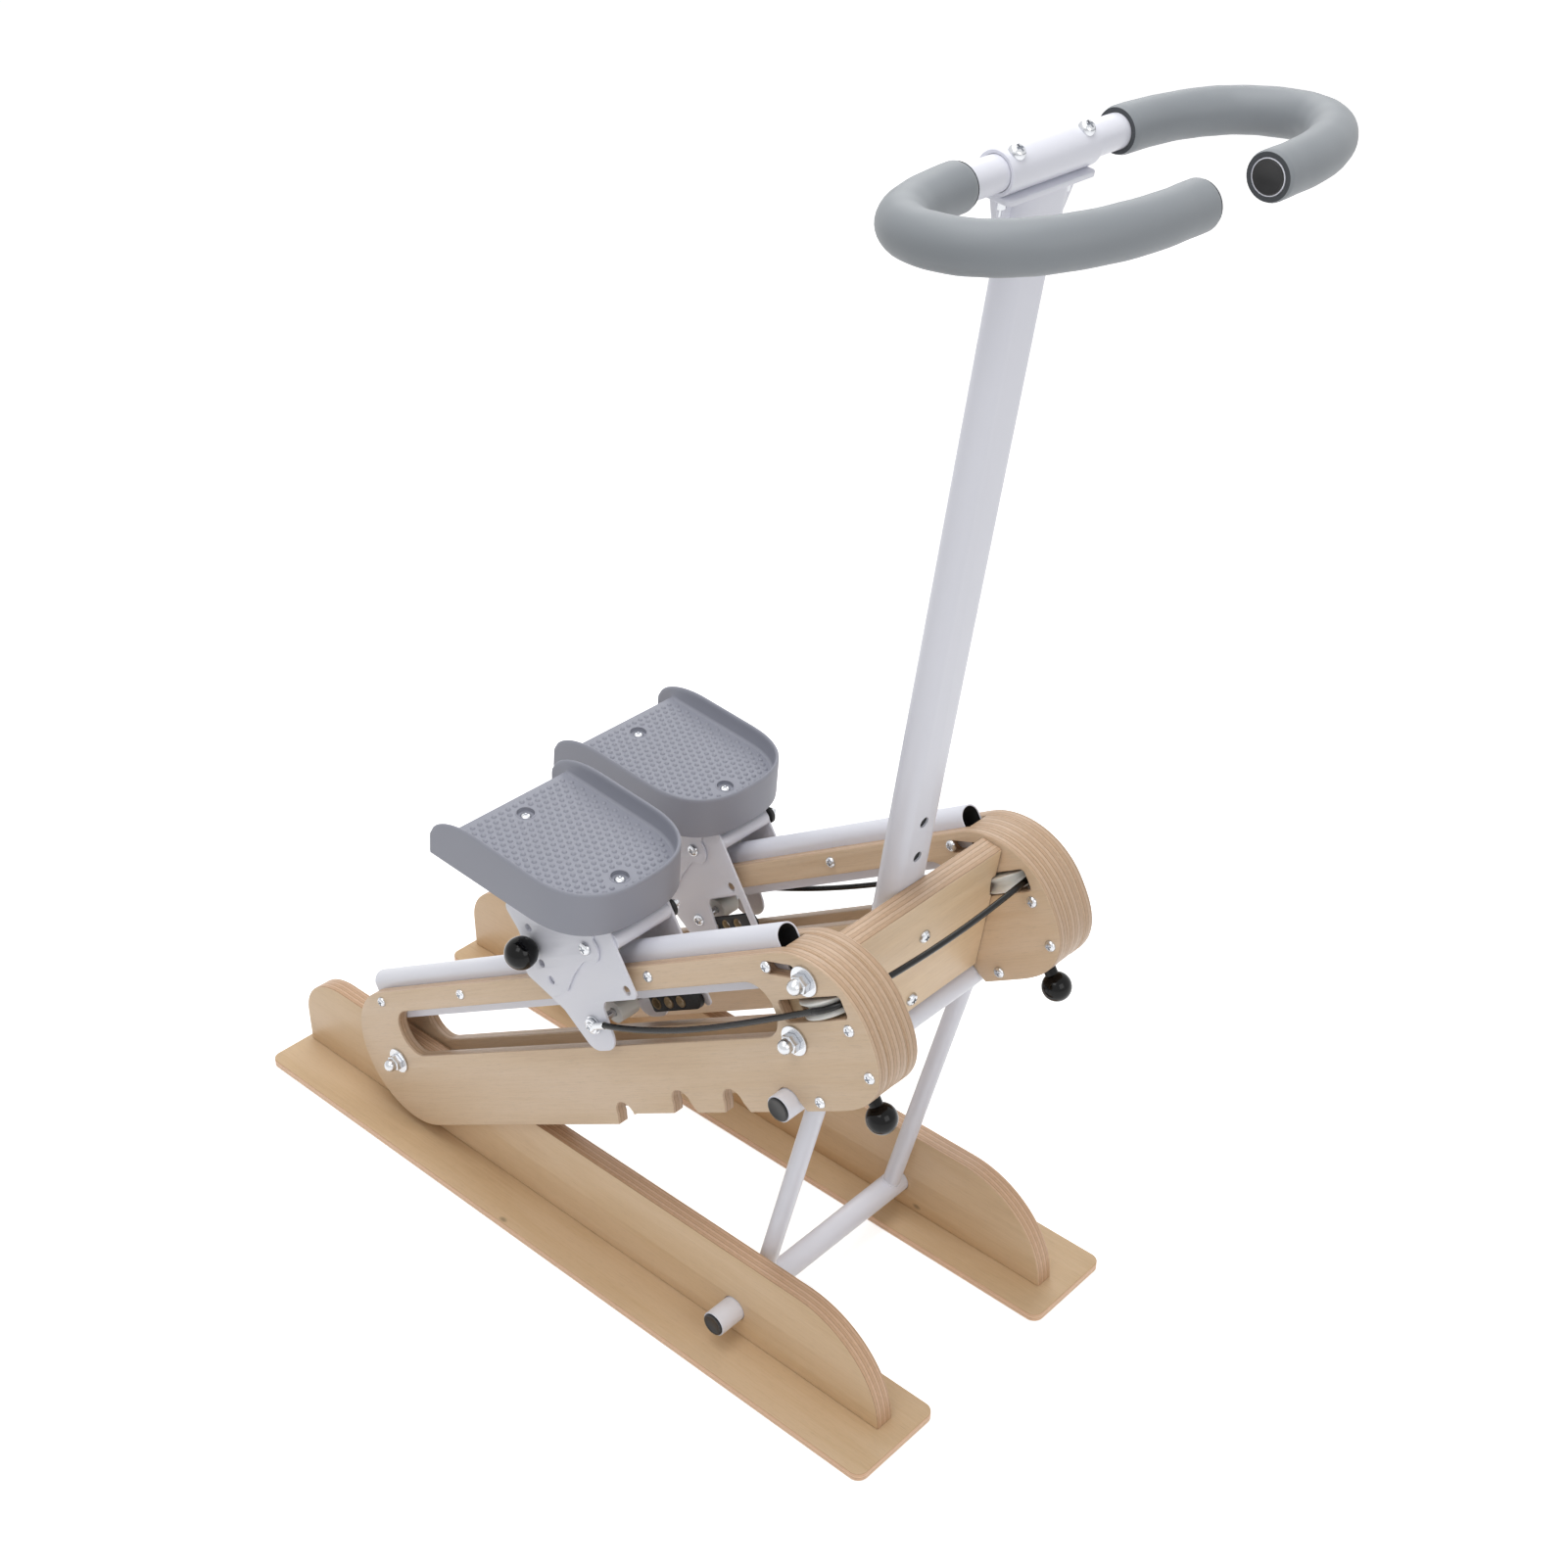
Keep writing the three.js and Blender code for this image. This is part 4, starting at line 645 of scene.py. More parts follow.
trackSettings = dict(
    half=79, noseDrop=68, noseU=679, noseV=4, noseReach=75, panelIn=12.5, panel=12,
    notches=(372, 467, 543, 620), seat=13.2, flare=5, pivotHole=6.4, rodHole=5.4,
    windowRear=29, windowFront=651, windowLow=3, windowHigh=55, nose=12.2, noseRear=655, noseStep=(683, 42.7),
    rods=((661.85, -0.65), (705.2, 51.75)), pulleyWindow=(660, 738, 15, 36),
    slot=((660.4, 61.2), (696.5, 53.9), (698.2, 65.4), (662.6, 72.6)), railFront=676, railTop=83,
    screws=((19, 68.5), (179, 68.5), (339, 68.5), (499, 68.5), (664.5, 67.3), (734, 5), (735, -38), (661, -59)),
    wheel=((0, 7.5), (4, 7.5), (4, 18.5), (9, 18.5), (9, 18.0), (29.6, 18.0), (30.4, 18.6), (30.4, 19.3),
              (25.3, 23.9), (24.9, 25.5), (25.3, 27.1), (30.4, 31.7), (30.4, 32.4), (29.6, 33), (9, 33), (9, 32.5),
              (4, 32.5), (4, 43.5), (0, 43.5)),
)


# round rear, straight top, round nose with a squarer lower half, and the row of notches
def panelOutline(settings, legAngle):
    half, drop, seat, flare, notches = pick(settings, "half noseDrop seat flare notches")
    nu, nv, reach = pick(settings, "noseU noseV noseReach")
    points = [arc(18, 0, half, half, -90, -270, 40), arc(nu, nv, reach, half - nv, 90, 0, 26),
              arc(nu, nv, reach, drop + nv, 0, -90, 26, 2.6)[1:]]
    for u in reversed(notches):
        first = u == notches[0]
        centre = -58 - (11 if first else 0)
        edge = -half if first else -drop
        points.append(rounded([[u + seat + flare + 4, -drop], [u + seat + flare, -drop], [u + seat, centre]],
                              [0, 2, 0])[1:])
        if legAngle is None:
            points += [arc(u, centre, seat, seat, 0, 180, 14), [[u - seat - flare, edge]]]
        else:
            # the rear side of the notch leaves the seat along the leg of the prop
            turn = math.radians(legAngle + 90)
            touch = (u + seat * math.cos(turn), centre + seat * math.sin(turn))
            leave = touch[0] - (touch[1] - edge) / math.tan(math.radians(legAngle))
            points += [arc(u, centre, seat, seat, 0, legAngle + 90, 14), [[leave, edge]]]
    outline = np.concatenate(points)
    return outline[np.r_[True, np.linalg.norm(np.diff(outline, axis=0), axis=1) > 0.05]]


# the four corners of a rectangle
def boxLoop(rear, front, low, high):
    return [[rear, low], [front, low], [front, high], [rear, high]]


# an arch between two radii: straight legs up from the foot and a half circle over them
def archLoop(outer, inner, foot, top):
    return np.concatenate([[[outer, foot]], arc(0, top, outer, outer, 0, 180, 28), [[-outer, foot], [-inner, foot]],
                           arc(0, top, inner, inner, 180, 0, 28), [[inner, foot]]])


# a ball's profile from the radius of its neck round to its far pole
def ballProfile(ball, neck, centre, way, count):
    angles = np.linspace(math.asin(neck / ball), math.pi, count)
    return [(ball * math.sin(a) if a < 3.14 else 0, centre - way * ball * math.cos(a)) for a in angles]


# two panels with a nose block between them, the rail and a dark lining that paints the shade inside it, screws,
# pulley and ball knob
def makeTrack(settings, side):
    name = sideName[side]
    place = sided(trackPlace, side)
    u0, u1, v0, v1 = settings["pulleyWindow"]
    rear, front, low, high = pick(settings, "windowRear windowFront windowLow windowHigh")
    window = rounded(boxLoop(rear, front, low, high), (high - low) / 2 - 0.5, 12)
    rods = [circle(u, v, settings["rodHole"]) for u, v in settings["rods"]]
    holes = [window, rounded(boxLoop(u0, u1, v0, v1), 4), circle(0, 0, settings["pivotHole"]),
             rounded(settings["slot"], 5.6)] + rods
    legAngle = math.degrees(math.atan2(propRise[2], propRise[1])) - trackSlope
    inside, thick = pick(settings, "panelIn panel")
    for label, start, leg in (("outer", inside, None), ("inner", -inside - thick, legAngle)):
        panel = plate([panelOutline(settings, leg)] + holes, start, start + thick, "x", place, 1.1)
        addPiece(f"panel_{label}_{name}", panel, "climb_frame", panelPly, f"{label}_panel_{name}")
    half, drop, nu, nv, reach = pick(settings, "half noseDrop noseU noseV noseReach")
    rear, (stepU, stepV) = pick(settings, "noseRear noseStep")
    nose = np.concatenate([[[rear, -drop], [rear, stepV], [stepU, stepV]],
                           arc(nu, nv, reach - 0.3, half - nv - 0.3, 86.6, 0, 26),
                           arc(nu, nv, reach - 0.3, drop + nv - 0.3, 0, -90, 26, 2.6)[1:]])
    pulleySlot = rounded(boxLoop(672, u1 - 1, v0, v1), 2)
    block = plate([nose, pulleySlot] + rods, -settings["nose"], settings["nose"], "x", place, 0.7)
    addPiece(f"nose_{name}", block, "climb_frame", blockPly, f"nose_block_{name}")
    front, top = pick(settings, "railFront railTop")
    rail = plate([archLoop(12, 10.5, 43, top)], -2, front, "y", place, 0.25)
    addPiece(f"arch_rail_{name}", rail, "climb_frame", whiteCoat, f"rail_{name}")
    # painted shade: a thin dark arch just inside the rail stands in for the shade within it
    shadeLining = plate([archLoop(10.45, 10.2, 43.4, top)], -1.6, front - 0.4, "y", place, 0.05)
    addPiece(f"rail_painted_shade_{name}", shadeLining, "climb_frame", paintedShade)
    face = inside + thick
    screws = [panScrew((face * way, *spot), (way, 0, 0), place) for spot in settings["screws"] for way in (1, -1)]
    addPiece(f"track_screws_{name}", screws, "climb_frame", zinc)
    wheel = lathe(settings["wheel"], place, "z", (0, pulleyU, 0), 64)
    addPiece(f"cable_pulley_{name}", wheel, f"pulley_{name}", whiteNylon, f"pulley_{name}")
    knob = [(0, -42), (3.9, -42), (3.9, -68.4), (6.2, -68.4), *ballProfile(14.0, 6.2, -88, -1, 22)]
    knob = lathe(knob, place, "z", (0, 698, 0))
    addPiece(f"knob_nose_{name}", knob, f"nose_knob_{name}", knobResin, f"nose_knob_{name}")


for side in (1, -1):
    makeTrack(trackSettings, side)

beamSettings = dict(
    halfWidth=96.7, foot=-65, top=72, half=11, rodEnd=146.8, rods=(("lower", -12), ("upper", 56)),
    bolts=(("upper", 26.5), ("lower", -48.5)),
)


# a plain board with a round pocket for each pulley, and its rods and bolts
def makeBeam(settings):
    wide, half, end = pick(settings, "halfWidth half rodEnd")
    beam = plate([boxLoop(-wide, wide, settings["foot"], settings["top"])], -half, half, "y", beamPlace, 1.0)
    pockets = [rod(31.5, 17, 34, trackPlace, "z", (x, pulleyU, 0), 64) for x in (trackX, -trackX)]
    addPiece("beam_across", carve(beam, pockets), "climb_frame", beamPly, "cross_beam")
    for label, z in settings["rods"]:
        parts = [rod(4.9, -end, end, beamPlace, "x", (0, 0, z), 20)]
        for way in (1, -1):
            parts += acornNut(end * way, way, (0, 0, z), beamPlace)
        addPiece(f"long_rod_{label}", parts, "climb_frame", zinc, f"beam_rod_{label}")
    nut = [(0, -44.4), (6, -44.4), (6.5, -43.8), (6.5, -37.2), (6, -36.6), (0, -36.6)]
    for label, z in settings["bolts"]:
        parts = [panScrew((0, 11.2, z), (0, 1, 0), beamPlace, 6.4, 4.0),
                 rod(3.8, -36.6, 11.2, beamPlace, "y", (0, 0, z), 20), lathe(nut, beamPlace, "y", (0, 0, z), 36)]
        addPiece(f"bolt_column_{label}", parts, "climb_frame", zinc, f"column_bolt_{label}")


makeBeam(beamSettings)
print("stepper: tracks and beam made")

columnSettings = dict(
    width=50, depth=25, wall=2, low=-65, high=686.9,
    hole=5.2, holeZ=(-11, 64, 101.5, 139),
)


# two half circles joined by straight sides
def oval(width, depth):
    x, half = (width - depth) / 2, depth / 2
    return np.concatenate([arc(way * x, columnY, half, half, -90 * way, -90 * way + 180, 18) for way in (1, -1)])


# an oval tube with a row of height holes, and a dark lining inside that paints its shade
def makeColumn(settings):
    w, d, wall, low, high = pick(settings, "width depth wall low high")
    innerW, innerD = w - 2 * wall, d - 2 * wall
    tube = plate([oval(w, d), oval(innerW, innerD)], low, high, "z", beamPlace, 0.3)
    holes = [rod(settings["hole"], columnY - 20, columnY + 20, beamPlace, "y", (0, 0, z), 28)
             for z in settings["holeZ"]]
    addPiece("oval_column", carve(tube, holes), "climb_frame", whiteCoat, "column")
    # painted shade: a thin dark oval just inside the wall stands in for the shade within the column and its holes
    shadeLining = [oval(innerW - 0.3, innerD - 0.3), oval(innerW - 1, innerD - 1)]
    addPiece("column_painted_shade", plate(shadeLining, low + 1, high - 1, "z", beamPlace, 0.05), "climb_frame", paintedShade)


makeColumn(columnSettings)

barSettings = dict(
    end=127.0, depth=76.0, straight=68.0, rearPower=2.6, gap=39.0, radius=12.7,
    foamRadius=17.2, foamBore=13.05, foamShare=36 / 44,
    lip=((11.6, 16), (12.6, 16), (12.6, 0.2), (12.3, -0.1), (11.9, -0.1), (11.6, 0.3), (11.6, 16)),
    plug=((0, 15), (11.4, 15), (11.4, 0.6), (11.7, 0.3), (11.7, -0.1), (10.9, -0.6), (8.8, -0.2), (5, 0.8),
             (0, 1.4)),
)


# the place on the handlebar at a signed distance from the middle of its rear side: a straight rear, then a half
# ellipse that is squarer at the rear, then a straight end
def barPoint(distance):
    side = np.where(distance < 0, -1.0, 1.0)
    length = np.abs(distance)
    end, depth, straight = pick(barSettings, "end depth straight")
    quarter = (math.pi / 2) * math.sqrt((end ** 2 + depth ** 2) / 2)
    angle = np.clip(math.pi * (length - straight) / (2 * quarter), 0, math.pi)
    power = np.where(angle < math.pi / 2, 2 / barSettings["rearPower"], 1.0)
    across = np.maximum(np.sin(angle), 0) ** power
    along = np.sign(np.cos(angle)) * np.abs(np.cos(angle)) ** power
    bent = np.where(angle < math.pi, straight + end * across, straight - (length - straight - 2 * quarter))
    x = np.where(length <= straight, length, bent)
    return np.c_[side * x, depth - depth * along, np.zeros_like(x)]


# a swept tube with bored ends, and on each half a foam sleeve with rounded, slightly uneven ends
def makeHandlebar(settings):
    end, depth, straight, gap = pick(settings, "end depth straight gap")
    reach = 2 * straight + math.pi * math.hypot(end, depth) / math.sqrt(2) - gap
    tip = (0, 2 * depth, 0)
    parts = [sweep(barPoint(np.linspace(-reach, reach, 260)), settings["radius"], 32, barPlace, capped=False)]
    for way in (1, -1):
        parts.append(lathe(np.add(settings["lip"], (0, gap)), sided(barPlace, way, 0), "x", tip))
    addPiece("bar_ring", parts, "handlebar", whiteCoat, "handlebar_tube")
    t = np.linspace(reach * (1 - settings["foamShare"]), reach - 0.3, 150)
    path = barPoint(t)
    edge = np.minimum(t - t[0], t[-1] - t)
    radius = settings["foamRadius"] - 1.6 * np.clip(1 - edge / 2.2, 0, 1) ** 2
    radius += 0.12 * np.sin(t * 0.09) + 0.08 * np.sin(t * 0.23 + 1)
    skin = ringPoints(path, roundSection(1.0, 36)[None] * radius[:, None, None])
    bore = ringPoints(path, roundSection(settings["foamBore"], 36)[None])
    points = np.concatenate([skin, bore[::-1]]).reshape(-1, 3)
    cut = [(13.1, 0), (16.3, 0), (16.1, 0.3), (13.1, 0.3), (13.1, 0)]
    for way in (1, -1):
        name, place = sideName[way], sided(barPlace, way, 0)
        foam = outward(addMesh(points, gridFaces(2 * len(t), 36, closeRows=True), place), 50)
        addPiece(f"foam_{name}", foam, "handlebar", foamSkin, f"foam_grip_{name}")
        cuts = []
        for at, toward in ((t[0], -1), (t[-1], 1)):
            step = barPoint(np.array([at - 0.5, at, at + 0.5]))
            forward = (step[2] - step[0]) * toward
            forward = forward / np.linalg.norm(forward)
            cuts.append(lathe(cut, place @ facing(step[1] + forward * 0.02, forward), "z"))
        addPiece(f"foam_ends_{name}", cuts, "handlebar", foamCut)
        plug = lathe(np.add(settings["plug"], (0, gap)), place, "x", tip, 36)
        addPiece(f"plug_bar_{name}", plug, "handlebar", capPlastic, f"bar_plug_{name}")


makeHandlebar(barSettings)

bracketSettings = dict(
    sleeve=((13.1, -49.6), (15.4, -50), (15.9, -49.4), (15.9, 49.4), (15.4, 50), (13.1, 49.6), (13.1, -49.6)),
    gusset=((-48, 695), (-29, 646), (-22, 646), (-22, 695)), flange=(694.4, 698.4), socket=(640.9, 695.4),
    weldX=49.6, weldRadius=15.2, screwX=39, screwLean=25,
    bolt=((0, 681), (3, 681), (3, 687), (5.6, 687), (5.6, 694.1), (0, 694.1)),
)


# a tube sleeve on a web, a flange and a socket with two gussets, and its screws
def makeBracket(settings):
    flange = rounded(boxLoop(-49.5, 49.5, columnY - 16, columnY + 16), 5)
    gusset = rounded(settings["gusset"], [1, 6, 0, 0])
    parts = [lathe(settings["sleeve"], beamPlace, "x", (0, columnY, sleeveZ), 44),
             plate([flange], *settings["flange"], "z", beamPlace, 0.7),
             plate([boxLoop(-48, 48, 698, 709)], columnY - 5, columnY + 5, "y", beamPlace, 0.5),
             plate([oval(55.6, 30.6), oval(50.8, 25.8)], *settings["socket"], "z", beamPlace, 0.5)]
    for way in (1, -1):
        parts.append(plate([gusset * [way, 1]], columnY - 2.5, columnY + 2.5, "y", beamPlace, 0.5))
    for x in (-settings["weldX"], settings["weldX"]):
        ring = np.c_[np.full(56, x * 0.995), roundSection(settings["weldRadius"], 56) + (columnY, sleeveZ)]
        parts.append(weldBead(ring, 0.6, beamPlace))
    addPiece("bar_bracket", parts, "climb_frame", whiteCoat, "handlebar_bracket")
    screws = []
    sin, cos = math.sin(math.radians(settings["screwLean"])), math.cos(math.radians(settings["screwLean"]))
    for x in (-settings["screwX"], settings["screwX"]):
        screws.append(panScrew((x, columnY + 15.6 * sin, sleeveZ + 15.6 * cos), (0, sin, cos), beamPlace, 6.4, 5.0))
        screws.append(lathe(settings["bolt"], beamPlace, "z", (x, columnY, 0), 24))
    addPiece("bracket_screws", screws, "climb_frame", zinc)


makeBracket(bracketSettings)
print("stepper: column and handlebar made")

carriageSettings = dict(
    plateIn=33, plateOut=35.5, bracketIn=35.8, bracketOut=38.3, headAt=38.9, rearAxle=-62,
    tiltHoles=(80, 174, 13),
    lower=((4.4, -11.4), (11, -11.4), (11.6, -10.8), (11.6, 10.8), (11, 11.4), (4.4, 11.4), (4.4, -11.4)),
    spacerNut=((0, 48.5), (3, 48.5), (3, 45.5), (5.4, 45), (5.4, 40.9), (0, 40.9)),
    spacerRing=((3.2, 36), (8.6, 36), (9.2, 36.6), (9.2, 40), (8.6, 40.6), (3.2, 40.6), (3.2, 36)),
    eyeWasher=((0, 35.9), (8.8, 35.9), (9, 36.1), (9, 37.2), (8.8, 37.4), (0, 37.4)),
    eyeRing=((0, 37.4), (6.4, 37.4), (7.6, 38.2), (7.9, 39.3), (7.6, 40.2), (6.4, 40.9), (0, 40.9)),
    bufferV=-87, bufferHoles=(-27, -8.3, 10.4),
    bufferRing=((4.7, -31.5), (5.9, -31.5), (5.9, -25.9), (5.6, -25.6), (5.0, -25.6), (4.7, -25.9), (4.7, -31.5)),
)


# the tilt holes lie on a circle round the pivot, one every so many degrees
def tiltSpot(step):
    radius, first, pitch = carriageSettings["tiltHoles"]
    angle = math.radians(first + pitch * step)
    return radius * math.cos(angle), radius * math.sin(angle)


# the holes at the spots of these steps
def tiltHoles(radius, steps):
    return [circle(*tiltSpot(step), radius) for step in steps]


# the corners of a side plate, each rounded; the inner plate has a tongue down to the buffer
def sidePlate(tongue):
    front = 44 if tongue else 40
    low = [[35, -55], [35, -96], [44, -96]] if tongue else [[front, -55]]
    lowRadius = [5, 4.4, 4.4] if tongue else [5]
    points = [[-61, -103.5], [-23, -103.5], [-18, -62], [-12, -55], *low, [front, 7.6], [42.4, 14.6], [-18, 17],
              [-62, 54], [-104, 54], [-97, 21], [-117, -19], [-100, -37], [-80, -59]]
    return rounded(points, [17, 17, 6, 8, *lowRadius, 6, 5, 30, 20, 8, 20, 10, 8, 10], 10)


# two side plates, a spacer and an axle, with rollers, bolts, the cable's eye and the buffer
def makeCarriage(side, settings):
    name = sideName[side]
    body = f"carriage_{name}"
    place = sided(carriagePlace[side], side)
    low, high, rear, head = pick(settings, "plateIn plateOut rearAxle headAt")
    spacer, eyeAt = (0, *spacerTube), (0, *lowerAxle)
    axles = [circle(0, 0, 4.3), circle(*lowerAxle, 4.3), circle(29, -46, 5)]
    parts = [plate([sidePlate(False)] + axles + tiltHoles(4.3, (-2, -1, 0, 1)), low, high, "x", place, 0.5),
             plate([sidePlate(True)] + axles, -high, -low, "x", place, 0.5),
             tubeBetween((-low, *spacerTube), (low, *spacerTube), 8, place, 28),
             tubeBetween((-high, rear, 0), (high, rear, 0), 4, place, 20)]
    addPiece(f"carriage_plates_{name}", parts, body, whiteCoat, f"carriage_frame_{name}")
    # grooved upper rollers hug the arch of the rail
    groove = [(11.8 + 12 - math.sqrt(144 - x * x), x) for x in np.linspace(-10.5, 10.5, 15)]
    roller = [(4.4, -13.4), (17.4, -13.4), (17.9, -12.9), *groove,
              (17.9, 12.9), (17.4, 13.4), (4.4, 13.4), (4.4, -13.4)]
    for label, profile, centre, segments in (("front", roller, (0, 0, 0), 44), ("rear", roller, (0, rear, 0), 44),
                                             ("lower", settings["lower"], eyeAt, 40)):
        addPiece(f"wheel_{label}_{name}", lathe(profile, place, "x", centre, segments), f"roller_{label}_{name}",
                 whiteNylon, f"roller_{label}_{name}")
    # bolt of the spacer tube: its nut and a black ring stand on its left end
    away = (1, -side)
    bolt = [rod(3.9, -38.6, 38.6, place)]
    bolt += [panScrew((head * way, 0, 0), (way, 0, 0), place, 6.8, 3.9) for way in (1, -1)]
    bolt.append(lathe(np.multiply(settings["spacerNut"], away), place, "x", spacer, 24))
    ring = lathe(np.multiply(settings["spacerRing"], away), place, "x", spacer, 36)
    addPiece(f"spacer_ring_{name}", ring, body, rubberBlack)
    addPiece(f"bolt_pivot_{name}", bolt, body, zinc, f"pivot_bolt_{name}")
    ferrule = lowerAxle[0] + 6
    eye = [rod(3.9, -35.9, 36, place, "x", eyeAt), panScrew((-35.9, *lowerAxle), (-1, 0, 0), place, 6.6, 3.9),
           lathe(settings["eyeWasher"], place, "x", eyeAt, 36), lathe(settings["eyeRing"], place, "x", eyeAt, 36),
           panScrew((40.9, *lowerAxle), (1, 0, 0), place, 5.2, 2.4),
           tubeBetween((39.8, ferrule, lowerAxle[1]), (39.8, ferrule + 15.8, lowerAxle[1]), 3.6, place, 20)]
    addPiece(f"eye_{name}", eye, body, zinc, f"cable_eye_bolt_{name}")
    height, spots = pick(settings, "bufferV bufferHoles")
    bar = rounded(boxLoop(-36, 38, -9, 9), [3, 8.8, 8.8, 3], 10) + (0, height)
    buffer = plate([bar] + [circle(u, height, 6) for u in spots], -32.7, -26.2, "x", place, 0.9)
    addPiece(f"buffer_{name}", buffer, body, rubberBlack, f"rubber_buffer_{name}")
    rings = [lathe(settings["bufferRing"], place, "x", (0, u, height), 32) for u in spots]
    addPiece(f"buffer_rings_{name}", rings, body, tanRubber)


# two cheeks whose rear edge follows the arc of holes, a plate on top, and the ball-knob pin
def makePedalBracket(side, settings):
    name = sideName[side]
    place = sided(carriagePlace[side], side)
    top = [(turned(pedalTurn, *pedalRoot) @ (0, a, -5.5, 1))[1:3] for a in (-14, 132)]
    neck = rounded([[6, -12], [-14, -13], [-36, -24], [-56, -38], [-60, -45]], [0, 30, 60, 12, 0], 8)[1:-1]
    cheek = [np.concatenate([arc(0, 0, 16, 16, 24, -80, 14), neck, arc(0, 0, 96, 96, 208, 150, 16), top]),
             circle(0, 0, 4.3)]
    inner, outer = pick(settings, "bracketIn bracketOut")
    underPedal = sided(pedalPlace[side], side)
    parts = [plate(cheek + tiltHoles(4.2, (-1, 0, 1, 2)), inner, outer, "x", place, 0.5),
             plate(cheek, -outer, -inner, "x", place, 0.5),
             plate([rounded(boxLoop(-outer, outer, -14, 132), 3)], -6.8, -4.4, "z", underPedal, 0.4)]
    addPiece(f"bracket_{name}", parts, f"pedal_{name}", whiteCoat, f"pedal_bracket_{name}")
    ball, neckRadius, neckX = 16.0, 11.4, 42.3
    centre = neckX + math.sqrt(ball ** 2 - neckRadius ** 2)
    knob = [(0, 36.1), (3.9, 36.1), (3.9, 41.7), (10.8, 41.7), (neckRadius, neckX),
            *ballProfile(ball, neckRadius, centre, 1, 24)[1:]]
    pin = lathe(knob, place, "x", (0, *tiltSpot(0)))
    addPiece(f"knob_tilt_{name}", pin, f"tilt_pin_{name}", knobResin, f"tilt_pin_{name}")


pedalSettings = dict(
    half=77, wall=4, toe=161, rim=21, skirt=25, lipSkirt=32, lip=45, lipStart=22, lipLow=-12,
    toePower=2.6, floorRear=-24, studPitch=8.5, studRadius=2.9, studHeight=1.9, screws=(0, 125),
    well=((8.6, 0.4), (9.6, 0.5), (9.9, 0), (8.6, -0.2), (8.4, -3.9), (3.2, -3.9), (3.2, -4.3), (9.4, -4.3),
             (9.4, -0.4), (8.6, 0.4)),
)


# a low dome of three rings and a pole, set at every place of the staggered rows that is clear of rim and screws
def makeStuds(settings, centre, place):
    pitch, reach, power = settings["studPitch"], settings["half"] - 10.5, settings["toePower"]
    column, row = np.meshgrid(np.arange(-9, 10), np.arange(-3, 22))
    x = (column + 0.5 * (row % 2)) * pitch
    y = row * pitch * 0.866
    inToe = np.abs(x) ** power + np.abs(y - centre) ** power < reach ** power
    inside = (np.abs(x) < reach) & (y > settings["floorRear"] + 4) & ((y < centre) | inToe)
    for hole in settings["screws"]:
        inside &= x ** 2 + (y - hole) ** 2 > 13 ** 2
    x, y = x[inside], y[inside]
    rings = [np.c_[roundSection(share * settings["studRadius"], 10), np.full(10, height * settings["studHeight"])]
             for share, height in ((1.0, -0.1), (0.78, 0.42), (0.45, 0.85))]
    stud = np.concatenate(rings + [[[0, 0, settings["studHeight"]]]])
    points = (np.c_[x, y, np.zeros_like(x)][:, None] + stud[None]).reshape(-1, 3)
    one = gridFaces(3, 10) + [[20 + k, 20 + (k + 1) % 10, 30] for k in range(10)]
    faces = [[index + offset * len(stud) for index in face] for offset in range(len(x)) for face in one]
    return smoothed(addMesh(points, faces, place), 60)


